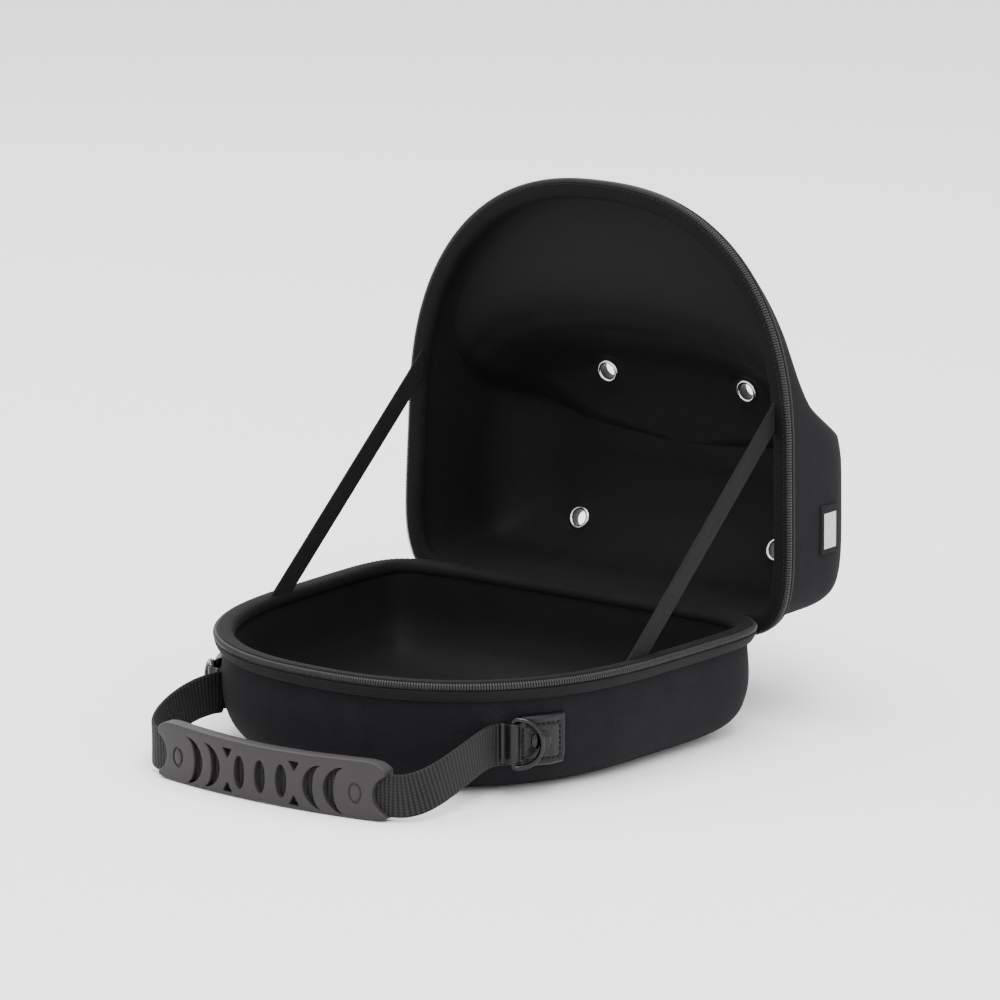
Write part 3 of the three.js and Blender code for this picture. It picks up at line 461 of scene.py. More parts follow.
def webbing_relief(tree):
    u, v = cloth_place(tree)
    ribs = wave(tree, u, 2.3)
    yarns = wave(tree, v, 1.6)
    crossing = maths(tree, "MULTIPLY", ribs, ranged(tree, yarns, 0.45, 1.0))
    return shared(tree, crossing, noise(tree, 2400.0), 0.85)


def pebble_relief(tree):
    return shared(tree, cells(tree, 1300.0, "SMOOTH_F1"), noise(tree, 260.0), 0.7)


def fine_relief(tree):
    return noise(tree, 1700.0, 4.0)


def scratch_relief(tree):
    return noise(tree, 420.0, 4.0, (1.0, 0.12, 1.0))


KNIT = finish("shell_knit", (0.0038, 0.0036, 0.0045), (0.0105, 0.0101, 0.0127), (0.82, 0.98),
              knit_relief, 0.16, Specular_IOR_Level=0.06, Sheen_Weight=0.02, Sheen_Roughness=0.6)
LINING = finish("shell_lining", (0.0016, 0.0012, 0.0016), (0.0046, 0.0038, 0.0049), (0.6, 0.8),
                lining_relief, 0.08, Specular_IOR_Level=0.16, Sheen_Weight=0.015)
BINDING = finish("binding_ribbed", (0.0019, 0.0015, 0.0016), (0.0062, 0.0053, 0.0055), (0.62, 0.82),
                 rib_relief(0.9), 0.08, Specular_IOR_Level=0.07, Sheen_Weight=0.012)
TAPE = finish("tape_woven", (0.0024, 0.0021, 0.0022), (0.0092, 0.008, 0.0082), (0.7, 0.9),
              weave_relief(1.3, 0.9), 0.1, Specular_IOR_Level=0.12, Sheen_Weight=0.02)
COIL = finish("coil_filament", (0.0055, 0.005, 0.005), (0.0165, 0.0153, 0.0152), (0.34, 0.5),
              fine_relief, 0.01, Specular_IOR_Level=0.3)
STRAP = finish("strap_woven", (0.0023, 0.0021, 0.0021), (0.0115, 0.0107, 0.0106), (0.7, 0.9),
               weave_relief(1.5, 1.2), 0.16, Specular_IOR_Level=0.12, Sheen_Weight=0.02)
# The webbing's tone runs from near black to light with its relief: painted shade between its ribs and
# yarns
WEBBING = finish("webbing_ribbed", (0.0025, 0.0023, 0.0023), (0.0235, 0.0218, 0.0215), (0.62, 0.85),
                 webbing_relief, 0.34, Specular_IOR_Level=0.16, Sheen_Weight=0.02, share=0.8)
LEATHER_FINISH = finish("leatherette", (0.003, 0.0024, 0.0029), (0.0085, 0.007, 0.0086), (0.24, 0.38),
                        pebble_relief, 0.06, Specular_IOR_Level=0.24)
RUBBER = finish("grip_rubber", (0.0165, 0.0144, 0.0155), (0.0255, 0.0224, 0.024), (0.42, 0.6),
                fine_relief, 0.03, Specular_IOR_Level=0.25)
NICKEL = finish("nickel", (0.5, 0.49, 0.48), (0.72, 0.72, 0.72), (0.1, 0.24),
                scratch_relief, 0.004, Metallic=1.0)
GUNMETAL = finish("gunmetal", (0.017, 0.016, 0.0175), (0.036, 0.034, 0.0365), (0.1, 0.2),
                  scratch_relief, 0.005, Metallic=1.0)
THREAD = finish("thread", (0.0022, 0.0021, 0.0021), (0.006, 0.0056, 0.0056), (0.5, 0.7),
                fine_relief, 0.02, Specular_IOR_Level=0.2)
# A dark non-metal finish for the eyelet bore's inner wall: painted shade where the nickel lies in shadow
BARREL_PAINTED_SHADE = finish("eyelet_barrel_painted_shade", (0.004, 0.0038, 0.0038), (0.009, 0.0086, 0.0086), (0.4, 0.6),
                fine_relief, 0.02, Specular_IOR_Level=0.3)
LABEL = finish("label_ground", (0.004, 0.004, 0.0046), (0.012, 0.012, 0.0135), (0.75, 0.9),
               weave_relief(0.7, 0.7), 0.08, Specular_IOR_Level=0.12)
PALE = finish("label_field_thread", (0.34, 0.34, 0.35), (0.52, 0.52, 0.53), (0.55, 0.75),
              rib_relief(0.55), 0.1, Specular_IOR_Level=0.3)
print("finishes:", len(bpy.data.materials))

# %% [markdown]
# ## The tray
#
# The tray is moulded foam board with knit on both faces. Its wall stands
# nearly straight, then rolls under on a wide radius to the flat bottom it
# rests on. Rings of the outline are drawn in row by row down to a pole.

# %% The tray's shell
def shell_ring(share, inset, height):
    """The outline, its front drawn in by a share towards the crown, then inset."""
    shorter = mix(1, CROWN_REACH / FRONT_REACH, share)
    line = ROUND.copy()
    line[:, 1] = np.where(line[:, 1] < 0, line[:, 1] * shorter, line[:, 1])
    near = min(inset, 12.0)
    rest = inset - near
    deep = FRONT_REACH * shorter
    middle, half = (REAR_REACH - deep) / 2, (REAR_REACH + deep) / 2
    moved = line - outwards(line) * near
    x = moved[:, 0] * (1 - rest / (HALF_WIDTH - near))
    y = middle + (moved[:, 1] - middle) * (1 - rest / (half - near))
    return np.stack([x, y, np.broadcast_to(height, x.shape)], 1)


TRAY_PROFILE = np.array([
    # height, inset
    [TRAY_HEIGHT - EDGE_DROP, SHELL_INSET],
    [0.35 * TRAY_HEIGHT, SHELL_INSET + 0.3],
    [0.225 * TRAY_HEIGHT, SHELL_INSET + 3.2],
    [0.122 * TRAY_HEIGHT, SHELL_INSET + 8],
    [0.049 * TRAY_HEIGHT, SHELL_INSET + 14.2],
    [0.01 * TRAY_HEIGHT, SHELL_INSET + 20.5],
    [0, SHELL_INSET + 26],
])


def tray_inset(height):
    return np.interp(height, TRAY_PROFILE[::-1, 0], TRAY_PROFILE[::-1, 1])


def with_pole(rings):
    pole = np.broadcast_to(rings[-1].mean(0), rings[-1].shape)
    inner = [mix(pole, rings[-1], share) for share in (0.75, 0.5, 0.25)]
    return np.array([*rings, *inner, pole])


def thickened(piece):
    """The wall's real thickness, inwards; the inner face wears the second finish."""
    wall = piece.modifiers.new("wall", "SOLIDIFY")
    wall.thickness = WALL * MM
    wall.offset = -1
    wall.material_offset = 1
    wall.material_offset_rim = 1


tray_rows = with_pole(np.array([shell_ring(0, inset, height) for height, inset in TRAY_PROFILE]))
tray_rows = fair(tray_rows, 3.6)
thickened(sheet("tray_shell", closed(tray_rows), None, [KNIT, LINING], "shell", ["base_shell"],
                ends=False, inside=(0, 0, 30)))

# %% [markdown]
# ## The lid
#
# The lid repeats the outline at its rim. Behind it rises the dome for the
# cap's crown, and in front the wall steps back over the bill. Each row of the
# table holds how far the front has drawn in and how deep the front and the
# sides lie. The lid is drawn closed, then turned back about the hinge.

# %% The lid's skin, as drawn closed
LID_PROFILE = np.array([
    # brow, depth in front, depth at the sides (shares), inset
    [0, EDGE_DROP / CROWN_DEPTH, EDGE_DROP / CROWN_DEPTH, 0],
    [0, 0.147, 0.158, 0.3],
    [0.13, 0.226, 0.294, 0.6],
    [0.42, 0.282, 0.43, 1],
    [0.69, 0.316, 0.542, 1.4],
    [0.87, 0.362, 0.622, 2.3],
    [0.96, 0.418, 0.697, 4.2],
    [1, 0.469, 0.77, 7.9],
    [1, 0.572, 0.836, 12.9],
    [1, 0.7, 0.893, 19.1],
    [1, 0.81, 0.938, 26.2],
    [1, 0.875, 0.972, 34],
    [1, 0.92, 0.994, 45],
    [1, 0.955, 1, 60],
])


def lid_turn(directions):
    directions = np.asarray(directions, float)
    c, s = math.cos(math.radians(OPEN_ANGLE)), math.sin(math.radians(OPEN_ANGLE))
    x, y, d = np.moveaxis(directions, -1, 0)
    return np.stack([x, y * c + d * s, d * c - y * s], -1)


def lid_place(points):
    return lid_turn(np.asarray(points, float) - (0, REAR_REACH, 0)) + (0, HINGE_Y, HINGE_Z)


frontness = ease(18, -60, ROUND[:, 1])
lid_rows = np.array([
    shell_ring(brow, SHELL_INSET + inset, CROWN_DEPTH * mix(side, ahead, frontness))
    for brow, ahead, side, inset in LID_PROFILE
])
lid_rows = fair(with_pole(lid_rows), 3.2)


def lid_skin_at(x, y):
    """The skin's point over a place in the closed lid's plan, and its outward direction."""
    rows = lid_rows[len(lid_rows) // 4:]
    r, i = np.unravel_index(np.argmin(np.hypot(rows[..., 0] - x, rows[..., 1] - y)), rows.shape[:2])
    r = min(max(r, 1), len(rows) - 2)
    across = rows[r, (i + 1) % rows.shape[1]] - rows[r, i - 1]
    down = rows[r + 1, i] - rows[r - 1, i]
    out = unit(np.cross(down, across))
    out = out if out[2] > 0 else -out
    near = rows[r, i]
    depth = near[2] - (out[0] * (x - near[0]) + out[1] * (y - near[1])) / out[2]
    return np.array([x, y, depth]), out


print("lid rows:", len(lid_rows), "depth:", round(float(lid_rows[..., 2].max()), 1), "mm")

# %% [markdown]
# Four vent holes go through the dome before the wall gets its thickness. The
# faces around each one are divided and pressed flat, as under a real eyelet.
# Those inside its circle are taken away, and the ragged edge is drawn onto a
# true circle that the eyelet covers.

# %% The lid's shell with its vent holes
HOLE_RADIUS, EYELET_LEAN = 5.3, 0.5
PRESSED_FLAT, PRESSED_OVER = 7.5, 14
SKIN_ONLY = 0.008


def eyelet_seat(x, y):
    """A place on the skin and the eyelet's axis, which leans towards the lid's own depth."""
    place, out = lid_skin_at(x, y)
    return place, unit(out + (0, 0, EYELET_LEAN))


EYELET_SEATS = {
    f"eyelet_{row}_{side}": eyelet_seat(sign * share * HALF_WIDTH, REAR_REACH - reach)
    for row, share, reach in (("front", 0.368, 117), ("rear", 0.524, 30.5))
    for side, sign in (("right", 1), ("left", -1))
}


def pierce(bm, place, out):
    """Presses the skin flat about an axis and cuts a round hole of HOLE_RADIUS in it."""
    middle = Vector(metres(lid_place(place)))
    axis = Vector(lid_turn(out))

    def away(v):
        gap = v.co - middle
        along = gap.dot(axis)
        return gap - axis * along, along

    def close_by(v, reach):
        flat, along = away(v)
        return flat.length < reach * MM and abs(along) < SKIN_ONLY

    for reach in (15, 10):
        near = [e for e in bm.edges if all(close_by(v, reach) for v in e.verts)]
        bmesh.ops.subdivide_edges(bm, edges=near, cuts=1, use_grid_fill=True)
    for v in bm.verts:
        flat, along = away(v)
        hold = 1 - float(ease(PRESSED_FLAT, PRESSED_OVER, flat.length / MM))
        hold *= 1 - float(ease(5, 10, abs(along) / MM))
        v.co -= axis * along * hold
    inside = [v for v in bm.verts if close_by(v, HOLE_RADIUS)]
    bmesh.ops.delete(bm, geom=inside, context="VERTS")
    for v in bm.verts:
        if v.is_boundary and close_by(v, 9):
            flat, _ = away(v)
            v.co += flat.normalized() * HOLE_RADIUS * MM - flat


bm = bmesh.new()
skin(bm, lid_place(closed(lid_rows)))
weld(bm)
for place, out in EYELET_SEATS.values():
    pierce(bm, place, out)
face_out(bm, lid_place((0, 0, 30)))
thickened(piece_of("lid_moulding", bm, [KNIT, LINING], ["lid_shell"]))

# %% [markdown]
# The eyelets are nickel rings, pressed together from both faces of the wall.
# Each is one profile spun round its axis: a rolled flange outside, the barrel
# through the wall and a second flange inside. The barrel's inner wall wears a
# dark finish, a painted shade inside the nickel bore, and the background shows through.

# %% Vent eyelets
BARREL_RADIUS = 4.6
EYELET_PROFILE = [
    (4.35, 2.6), (4.45, 3.05), (4.8, 3.4), (5.4, 3.6), (6.0, 3.45), (6.5, 3.0), (6.7, 2.4), (6.6, 2.1),
    (4.9, 2.0), (4.9, -2.0), (6.6, -2.1), (6.7, -2.4), (6.5, -3.0), (6.0, -3.45), (5.4, -3.6),
    (4.8, -3.4), (4.45, -3.05), (4.35, -2.6),
]


def spun(profile, steps=40):
    """A closed profile of (radius, height) in mm, turned once round the Z axis."""
    bm = bmesh.new()
    verts = [bmesh.ops.create_vert(bm, co=(r * MM, 0, z * MM))["vert"][0] for r, z in profile]
    edges = [bm.edges.new(pair) for pair in zip(verts, verts[1:] + verts[:1])]
    bmesh.ops.spin(bm, geom=verts + edges, cent=(0, 0, 0), axis=(0, 0, 1), angle=2 * math.pi,
                   steps=steps, use_merge=True)
    weld(bm)
    bmesh.ops.recalc_face_normals(bm, faces=bm.faces[:])
    return bm


def seated(bm, middle, axis):
    """Turns a shape's Z axis onto an axis and moves it to its seat."""
    turn = Vector((0, 0, 1)).rotation_difference(Vector(axis)).to_matrix().to_4x4()
    bmesh.ops.transform(bm, matrix=Matrix.Translation(Vector(metres(middle))) @ turn, verts=bm.verts)


for node, (place, out) in EYELET_SEATS.items():
    bm = spun(EYELET_PROFILE)
    for face in bm.faces:
        middle = face.calc_center_median()
        # Faces inside BARREL_RADIUS, the bore's inner wall, take the dark finish: painted shade inside the
        # eyelet
        face.material_index = int(math.hypot(middle.x, middle.y) < BARREL_RADIUS * MM)
    seated(bm, lid_place(place - out * WALL / 2), lid_turn(out))
    piece_of(node + "_ring", bm, [NICKEL, BARREL_PAINTED_SHADE], [node])

# %% [markdown]
# ## The rims
#
# Both rims carry the same layers. A ribbed binding wraps the raw edges of the
# wall and the lining. At its outer edge stands the zipper's coil on its tape,
# and the tape's lower edge is rolled under where it meets the wall. They are
# sections swept along the outline; the hinge side has no zipper.

# %% Rim frames and sweeps
ROUND_AND_BACK = np.append(ROUND_S, LENGTH)
ZIP_START = 81.0
ZIP_END = LENGTH - ZIP_START
ZIPPED = ROUND_S[(ROUND_S > ZIP_START + 2) & (ROUND_S < ZIP_END - 2)]
ZIPPED = np.concatenate([[ZIP_START], ZIPPED, [ZIP_END]])


def rim(s, lid):
    """Places on a rim's top with their outward, upward and along directions."""
    place, out = outline_at(s)
    flat = np.zeros((len(place), 1))
    origin, outward = np.hstack([place, flat]), np.hstack([out, flat])
    along = np.stack([outward[:, 1], -outward[:, 0], flat[:, 0]], 1)
    up = np.broadcast_to((0.0, 0.0, -1.0 if lid else 1.0), origin.shape)
    if lid:
        return lid_place(origin), lid_turn(outward), lid_turn(up), lid_turn(along)
    return origin + (0, 0, TRAY_HEIGHT), outward, up, along


def swept(name, section, s, lid, looped, finish, slot, node):
    """A closed section of (outward, up) places, or one for each station, swept along a rim."""
    origin, outward, up, _ = rim(s, lid)
    section = closed(np.broadcast_to(section, (len(s), *section.shape[-2:])))
    points = origin[:, None] + outward[:, None] * section[..., :1] + up[:, None] * section[..., 1:]
    across = way_round(section[0])
    cloth = np.stack(np.meshgrid(s, across, indexing="ij"), -1)
    sheet(name, points, cloth, [finish], slot, [node], ends=not looped)


def binding_sections(s):
    """The binding reaches over the zipper's band, and is narrower beside the hinge."""
    inner = [(-BINDING_INNER - 0.1, -3.2), (-BINDING_INNER + 0.4, -BINDING_DEPTH), (-10.5, -3.7)]
    narrow = rounded([(-4.6, -3.7), (-4.6, -1.1), (-6.8, 0.15), (-9.5, -0.5)] + inner)
    wide = rounded([(-2.2, -3.7), (-1.5, -1.0), (-2.9, 0.25), (-9.3, -0.25)] + inner)
    reach = ease(ZIP_START - 5, ZIP_START + 3, np.minimum(s, LENGTH - s))
    return mix(narrow[None], wide[None], reach[:, None, None])


for name, lid, node in (("tray_edge_binding", False, "base_binding"),
                        ("lid_edge_binding", True, "lid_binding")):
    swept(name, binding_sections(ROUND_AND_BACK), ROUND_AND_BACK, lid, True, BINDING, "binding", node)

# %% [markdown]
# The tape leaves the binding under the coil, turns over the edge and rolls
# under to the wall, where a line of stitches holds it. A second line runs
# along the binding. Thread sinks into cloth, so the stitches are half sunk.

# %% Zipper tapes and the seam stitches
TAPE_SECTION = rounded([
    (-5.0, -4.2), (-0.2, -4.2), (-0.6, -6.1), (-1.5, -8.2), (-3.1, -10.2), (-5.0, -10.9),
])
for name, lid, node in (("tray_zip_tape", False, "base_zipper_tape"),
                        ("lid_zip_tape", True, "lid_zipper_tape")):
    swept(name, TAPE_SECTION, ZIPPED, lid, False, TAPE, "tape", node)


def rim_stitches(name, s, at, tilt, lid, length, thick, slot, node):
    origin, outward, up, along = rim(s, lid)
    places = origin + outward * at[0] + up * at[1]
    out = outward * math.cos(math.radians(tilt)) + up * math.sin(math.radians(tilt))
    stitches(name, places, along, out, length, thick, slot, [node])


seam = np.arange(ZIP_START + 4, ZIP_END - 4, 3.3)
for lid, side in ((False, "tray"), (True, "lid")):
    node = "lid" if lid else "base"
    rim_stitches(f"{side}_tape_stitches", seam, (-2.05, -8.5), -35, lid, 2.3, 0.3, "tape",
                 f"{node}_zipper_tape")
    rim_stitches(f"{side}_binding_stitches", seam, (-2.95, -0.03), 80, lid, 2.3, 0.28, "binding",
                 f"{node}_binding")

# %% [markdown]
# A coil zipper is a spiral of plastic filament. From outside one sees a row
# of small arched turns with a pitch of about one and a half millimetres. One
# turn is a bent rod; copies of it stand side by side over a dark core.

# %% Zipper coils
COIL_PITCH = 1.42
WIRE_HIGH, WIRE_WIDE = 0.5, 0.56
TURN_PATH = np.array([
    (-2.6, -1.7), (-1.9, -1.0), (-1.1, -1.0), (-0.55, -1.6), (-0.4, -2.5), (-0.6, -3.4), (-1.3, -3.9),
])


def turn_template():
    along = unit(np.gradient(TURN_PATH, axis=0))
    side = np.stack([-along[:, 1], along[:, 0]], 1)
    spin = np.linspace(0, 2 * np.pi, 7)
    ring = TURN_PATH[:, None] + side[:, None] * WIRE_HIGH * np.cos(spin)[None, :, None]
    width = np.broadcast_to(WIRE_WIDE * np.sin(spin), ring.shape[:2])
    points = np.stack([ring[..., 0], width, ring[..., 1]], -1)
    bm = bmesh.new()
    skin(bm, points - (0, WIDEST_Y, 0))
    bmesh.ops.scale(bm, vec=(1000, 1000, 1000), verts=bm.verts)
    weld(bm, 1e-4)
    close_ends(bm)
    bmesh.ops.recalc_face_normals(bm, faces=bm.faces[:])
    return template_of(bm)


TURN = turn_template()
CORE_SECTION = rounded([
    (-3.9, -4.1), (-3.6, -1.9), (-2.2, -1.5), (-1.2, -1.8), (-0.9, -2.8), (-1.0, -4.1),
], 1)
turns = np.arange(ZIP_START + 1, ZIP_END - 1, COIL_PITCH)
for lid, side, node in ((False, "tray", "base_zipper_teeth"), (True, "lid", "lid_zipper_teeth")):
    swept(f"{side}_coil_core", CORE_SECTION, ZIPPED, lid, False, TAPE, "teeth", node)
    origin, outward, up, along = rim(turns, lid)
    copies(f"{side}_coil_turns", TURN, origin, np.stack([outward, along, up], 1), [COIL], [node])
print("turns on each rim:", len(turns))

# %% [markdown]
# ## The hinge
#
# A single strip of binding cloth joins the shells. It lies on the tray's rear
# wall, passes under the open lid's edge in a loose fold and runs on along the
# lid. A strip this wide needs its own gentle ripples, or it looks like metal.

# %% The hinge cloth
def lid_side_inset(depth):
    return np.interp(np.asarray(depth) / CROWN_DEPTH, LID_PROFILE[:, 2], LID_PROFILE[:, 3])


CLOTH = 1.2
lie = 0.3 + CLOTH / 2


def hinge_line():
    under = lambda depth, inset: lid_place((0, REAR_REACH - inset + lie + 0.1, depth))[1:]
    on_lid = lambda depth: under(depth, SHELL_INSET + lid_side_inset(depth))
    wall = REAR_REACH - SHELL_INSET + lie + 0.4
    brink = under(1, BINDING_INSET)
    return np.array([
        (wall, TRAY_HEIGHT - EDGE_DROP - 1), (wall, brink[1] + 3.4), (wall + 0.9, brink[1] + 0.9),
        (wall + 3.2, brink[1] - 0.3), (brink[0] - 1.5, brink[1]),
        under(BINDING_DEPTH + 1, BINDING_INSET), on_lid(15), on_lid(24),
    ])


middle_line = fair(np.insert(hinge_line(), 0, 0, axis=1), 1.2)
along = unit(np.gradient(middle_line, axis=0))
across = np.cross((1.0, 0, 0), along)
ring = np.vstack([middle_line + across * CLOTH / 2, (middle_line - across * CLOTH / 2)[::-1]])
ring = np.vstack([ring, ring[:1]])
xs = np.linspace(-HINGE_WIDTH / 2 + 3, HINGE_WIDTH / 2 - 3, 70)
edge_drop = REAR_REACH * ((1 - np.abs(xs / HALF_WIDTH) ** REAR_EXPONENT) ** (1 / REAR_EXPONENT) - 1)
ripple = 0.12 * np.sin(xs / 5.3) + 0.08 * np.sin(xs / 2.9 + 1)
points = np.stack([
    np.stack([np.full(len(ring), x), ring[:, 1] + drop, ring[:, 2] + rise], 1)
    for x, drop, rise in zip(xs, edge_drop, ripple)
])
cloth = np.stack(np.meshgrid(xs, way_round(ring), indexing="ij"), -1)
sheet("hinge_cloth", points, cloth, [BINDING], "binding", ["hinge_gusset"])

# %% [markdown]
# ## The stay straps
#
# Two flat woven straps hold the open lid. Each runs straight from the crest of
# the tray's binding to the crest of the lid's, where its end is caught in the
# cloth. Both ends are cut along the rims, and two rows of stitches cross them.

# %% Stay straps
STAY_WIDTH, STAY_THICK = 12.0, 1.2
STAY_SEAT, STAY_FOOT_Y, STAY_HEAD_Y, STAY_SUNK = 8.6, -10.0, REAR_REACH - 121.0, 0.7


def ribbon(path, wide, width, thick, edges=5, flats=7):
    """Rows of points round a flat strap, and their places on the cloth."""
    path = np.asarray(path, float)
    along = unit(np.gradient(path, axis=0))
    wide = np.broadcast_to(np.asarray(wide, float), path.shape)
    across = unit(wide - along * (wide * along).sum(1, keepdims=True))
    out = np.cross(along, across)
    half, soft = width / 2 - thick / 2, thick / 2
    flat = np.linspace(-half, half, flats)
    bend = np.linspace(-np.pi / 2, np.pi / 2, edges + 2)[1:-1]
    section = [(u, -soft) for u in flat] + [(half + soft * math.cos(b), soft * math.sin(b)) for b in bend]
    section += [(u, soft) for u in flat[::-1]]
    section += [(-half - soft * math.cos(b), -soft * math.sin(b)) for b in bend]
    section = np.array(section + section[:1])
    points = path[:, None] + across[:, None] * section[None, :, :1] + out[:, None] * section[None, :, 1:]
    cloth = np.stack(np.meshgrid(way_round(path), section[:, 0], indexing="ij"), -1)
    return points, cloth


def stay_seat(y):
    return np.array([float(half_width_at(y)) - STAY_SEAT, y, 0.0])


foot, foot_up = stay_seat(STAY_FOOT_Y) + (0, 0, TRAY_HEIGHT), np.array([0.0, 0, 1])
head, head_up = lid_place(stay_seat(STAY_HEAD_Y)), lid_turn((0.0, 0, -1))
stay_along = unit(head - foot)
stay_wide = unit(np.array([0, -stay_along[2], stay_along[1]]))
stay_thin = np.cross(stay_along, stay_wide)


def cut_along_rim(points, end, up):
    """Slides points along the strap until they lie just under a rim's crest."""
    short = (-STAY_SUNK - (points - end) @ up) / (stay_along @ up)
    return points + short[..., None] * stay_along


def stay_rows(offsets, shares):
    """Points between the two cut ends, at places across the strap and shares of its length."""
    low = cut_along_rim(foot + offsets, foot, foot_up)
    high = cut_along_rim(head + offsets, head, head_up)
    return mix(low[None], high[None], np.asarray(shares)[:, None, None])


straight = np.linspace(foot, head, 60)
rows, cloth = ribbon(straight, stay_wide, STAY_WIDTH, STAY_THICK)
points = stay_rows(rows[0] - foot, np.linspace(0, 1, 60))
length = float(np.linalg.norm(head - foot))
stitch_at = np.array([2.6, 5.2, length - 5.2, length - 2.6]) / length
across = np.linspace(-0.42, 0.42, 7)[:, None] * STAY_WIDTH * stay_wide
for side, sign in (("right", 1), ("left", -1)):
    node = f"stay_strap_{side}"
    sheet(f"stay_{side}", points * (sign, 1, 1), cloth, [STRAP], "strap", [node])
    places, ways, outs = [], [], []
    for face in (-1, 1):
        lines = stay_rows(across + stay_thin * face * STAY_THICK / 2, stitch_at)
        places.append(lines.reshape(-1, 3))
        ways.append(np.repeat(lines[:, -1] - lines[:, 0], len(across), 0))
        outs.append(np.broadcast_to(stay_thin * face, places[-1].shape))
    turned = [np.vstack(rows) * (sign, 1, 1) for rows in (places, ways, outs)]
    stitches(f"stay_{side}_stitches", *turned, 1.4, 0.24, "strap", [node])
print("stay strap:", round(length, 1), "mm long")

# %% [markdown]
# ## The ring patches
#
# On each side a patch of leatherette is sewn and riveted over the end of the
# handle's webbing. Its front end folds round the bar of a D-ring. The
# patch is drawn on the wall: a place along the outline, a height and a lift
# off the wall. Its border stands up a little, and box stitching runs inside.

# %% Places on the tray's wall
PATCH_Z, PATCH_HALF, LOOP_HALF = 28.7, 13.5, 10.5
BOX_LENGTH, BAR_AT = 26.0, 30.3
WEB_SEAT, WEB_THICK, WEB_WIDTH = 0.5, 2.0, 22.0
FLAT_LIFT = 4.3
BAR_LIFT, RING_WIRE = 5.4, 2.7
HUMP_LIFT = 8.35
right_side = S <= LENGTH / 2
patch_middle = float(np.interp(75, -LINE[right_side, 1], S[right_side]))
PATCH_START = patch_middle - BOX_LENGTH / 2


def wall_place(s, lift, height):
    place, out = outline_at(s)
    away = (np.asarray(lift) - tray_inset(height))[..., None]
    up = np.broadcast_to(np.asarray(height, float), away.shape[:-1])
    return np.concatenate([place + out * away, up[..., None]], -1)


print("patch middle at", round(patch_middle, 1), "mm along the outline")

# %% [markdown]
# The patch is a grid whose lift follows its own table: down at the rear edge,
# up over the webbing, and over the bar in a hump. A rounded edge, a raised
# border and a sunk seam line are added to the lift by the way in from the
# edge.

# %% Ring patches
PATCH_LIFTS = np.array([
    # along, lift
    [0, 2.2], [1, 2.5], [5, 3.4], [8, FLAT_LIFT], [16.5, FLAT_LIFT], [25, FLAT_LIFT],
    [26.6, 5.0], [BAR_AT - 2, HUMP_LIFT - 0.6], [BAR_AT, HUMP_LIFT], [BAR_AT + 2, HUMP_LIFT - 0.8],
    [BAR_AT + 3.9, FLAT_LIFT], [BAR_AT + 6.4, FLAT_LIFT - 0.4],
])
at = np.concatenate([np.linspace(0, 2.4, 9), np.linspace(3, 23.2, 26), np.linspace(23.6, 26.6, 14),
                     np.linspace(27, BAR_AT + 6.4, 26)])
rise = np.interp(at, *PATCH_LIFTS.T)
rise = np.convolve(np.pad(rise, 2, mode="edge"), (0.1, 0.2, 0.4, 0.2, 0.1), "valid")
corner = 1.3


def half_at_corner(gap):
    """Half the patch's height where a rounded corner begins this far back."""
    return PATCH_HALF - corner + np.sqrt(np.maximum(corner**2 - gap**2, 0))


half = half_at_corner(np.maximum(corner - at, 0))
half = np.where(at > BOX_LENGTH - corner, half_at_corner(at - BOX_LENGTH + corner), half)
half = np.where(at >= BOX_LENGTH, LOOP_HALF, np.maximum(half, LOOP_HALF))
share = np.linspace(-1, 1, 57)
height = PATCH_Z + half[:, None] * share[None, :]
from_side = half[:, None] * (1 - np.abs(share))[None, :]
from_rear = np.broadcast_to(at[:, None], from_side.shape)
from_end = np.broadcast_to((at[-1] - at)[:, None], from_side.shape)
border = np.minimum(np.minimum(from_side, from_rear), from_end)
lift = np.broadcast_to(rise[:, None], border.shape).copy()
lift -= 0.9 * (1 - np.sqrt(1 - (1 - np.clip(border / 0.9, 0, 1)) ** 2))
box = (at < BOX_LENGTH - 0.5)[:, None]
seam_gap = np.maximum(np.abs(at[:, None] - 14.1) - 10.5, np.abs(height - PATCH_Z + 0.5) - 9.1)
puckers = np.sin(0.9 * at[:, None] + 1.4 * np.sin(0.5 * height)) * np.sin(0.8 * height + 0.6)
lift += box * 0.95 * np.exp(-(((border - 1.7) / 0.95) ** 2))
lift -= box * 0.42 * np.exp(-((seam_gap / 0.7) ** 2))
lift += box * 0.13 * puckers * ease(0, 2, -seam_gap)
bar_gap = np.abs(at - BAR_AT) < 2.4
low = np.where(at < BOX_LENGTH - 0.4, 0.4, 2.7)
low = np.where(bar_gap, np.minimum(rise - 1.2, BAR_LIFT + RING_WIRE / 2 + 0.3), low)
lift = np.concatenate([low[:, None], lift, low[:, None]], 1)
height = np.concatenate([height[:, :1], height, height[:, -1:]], 1)
lift = np.concatenate([lift[:1] * 0 + 0.4, lift, lift[-1:] * 0 + 2.7], 0)
height = np.concatenate([height[:1], height, height[-1:]], 0)
along_wall = np.concatenate([at[:1], at, at[-1:]])
patch_points = wall_place(np.broadcast_to((PATCH_START + along_wall)[:, None], height.shape), lift, height)
patch_cloth = np.stack([np.broadcast_to(along_wall[:, None], height.shape), height], -1)
for side, sign in (("right", 1), ("left", -1)):
    patch = sheet(f"{side}_patch", patch_points * (sign, 1, 1), patch_cloth, [LEATHER_FINISH], "leather",
                  [f"ring_patch_{side}"], ends=False, inside=(0, -40, 28), sharp=70)
    leather = patch.modifiers.new("leather", "SOLIDIFY")
    leather.thickness = 0.9 * MM
    leather.offset = -1

# %% [markdown]
# The box stitching goes round inside the raised border, in thick black thread.
# A domed rivet is driven through the middle. Both follow the patch's lift.

# %% Box stitching and rivets
def patch_lift(a):
    return np.interp(a, at, rise)


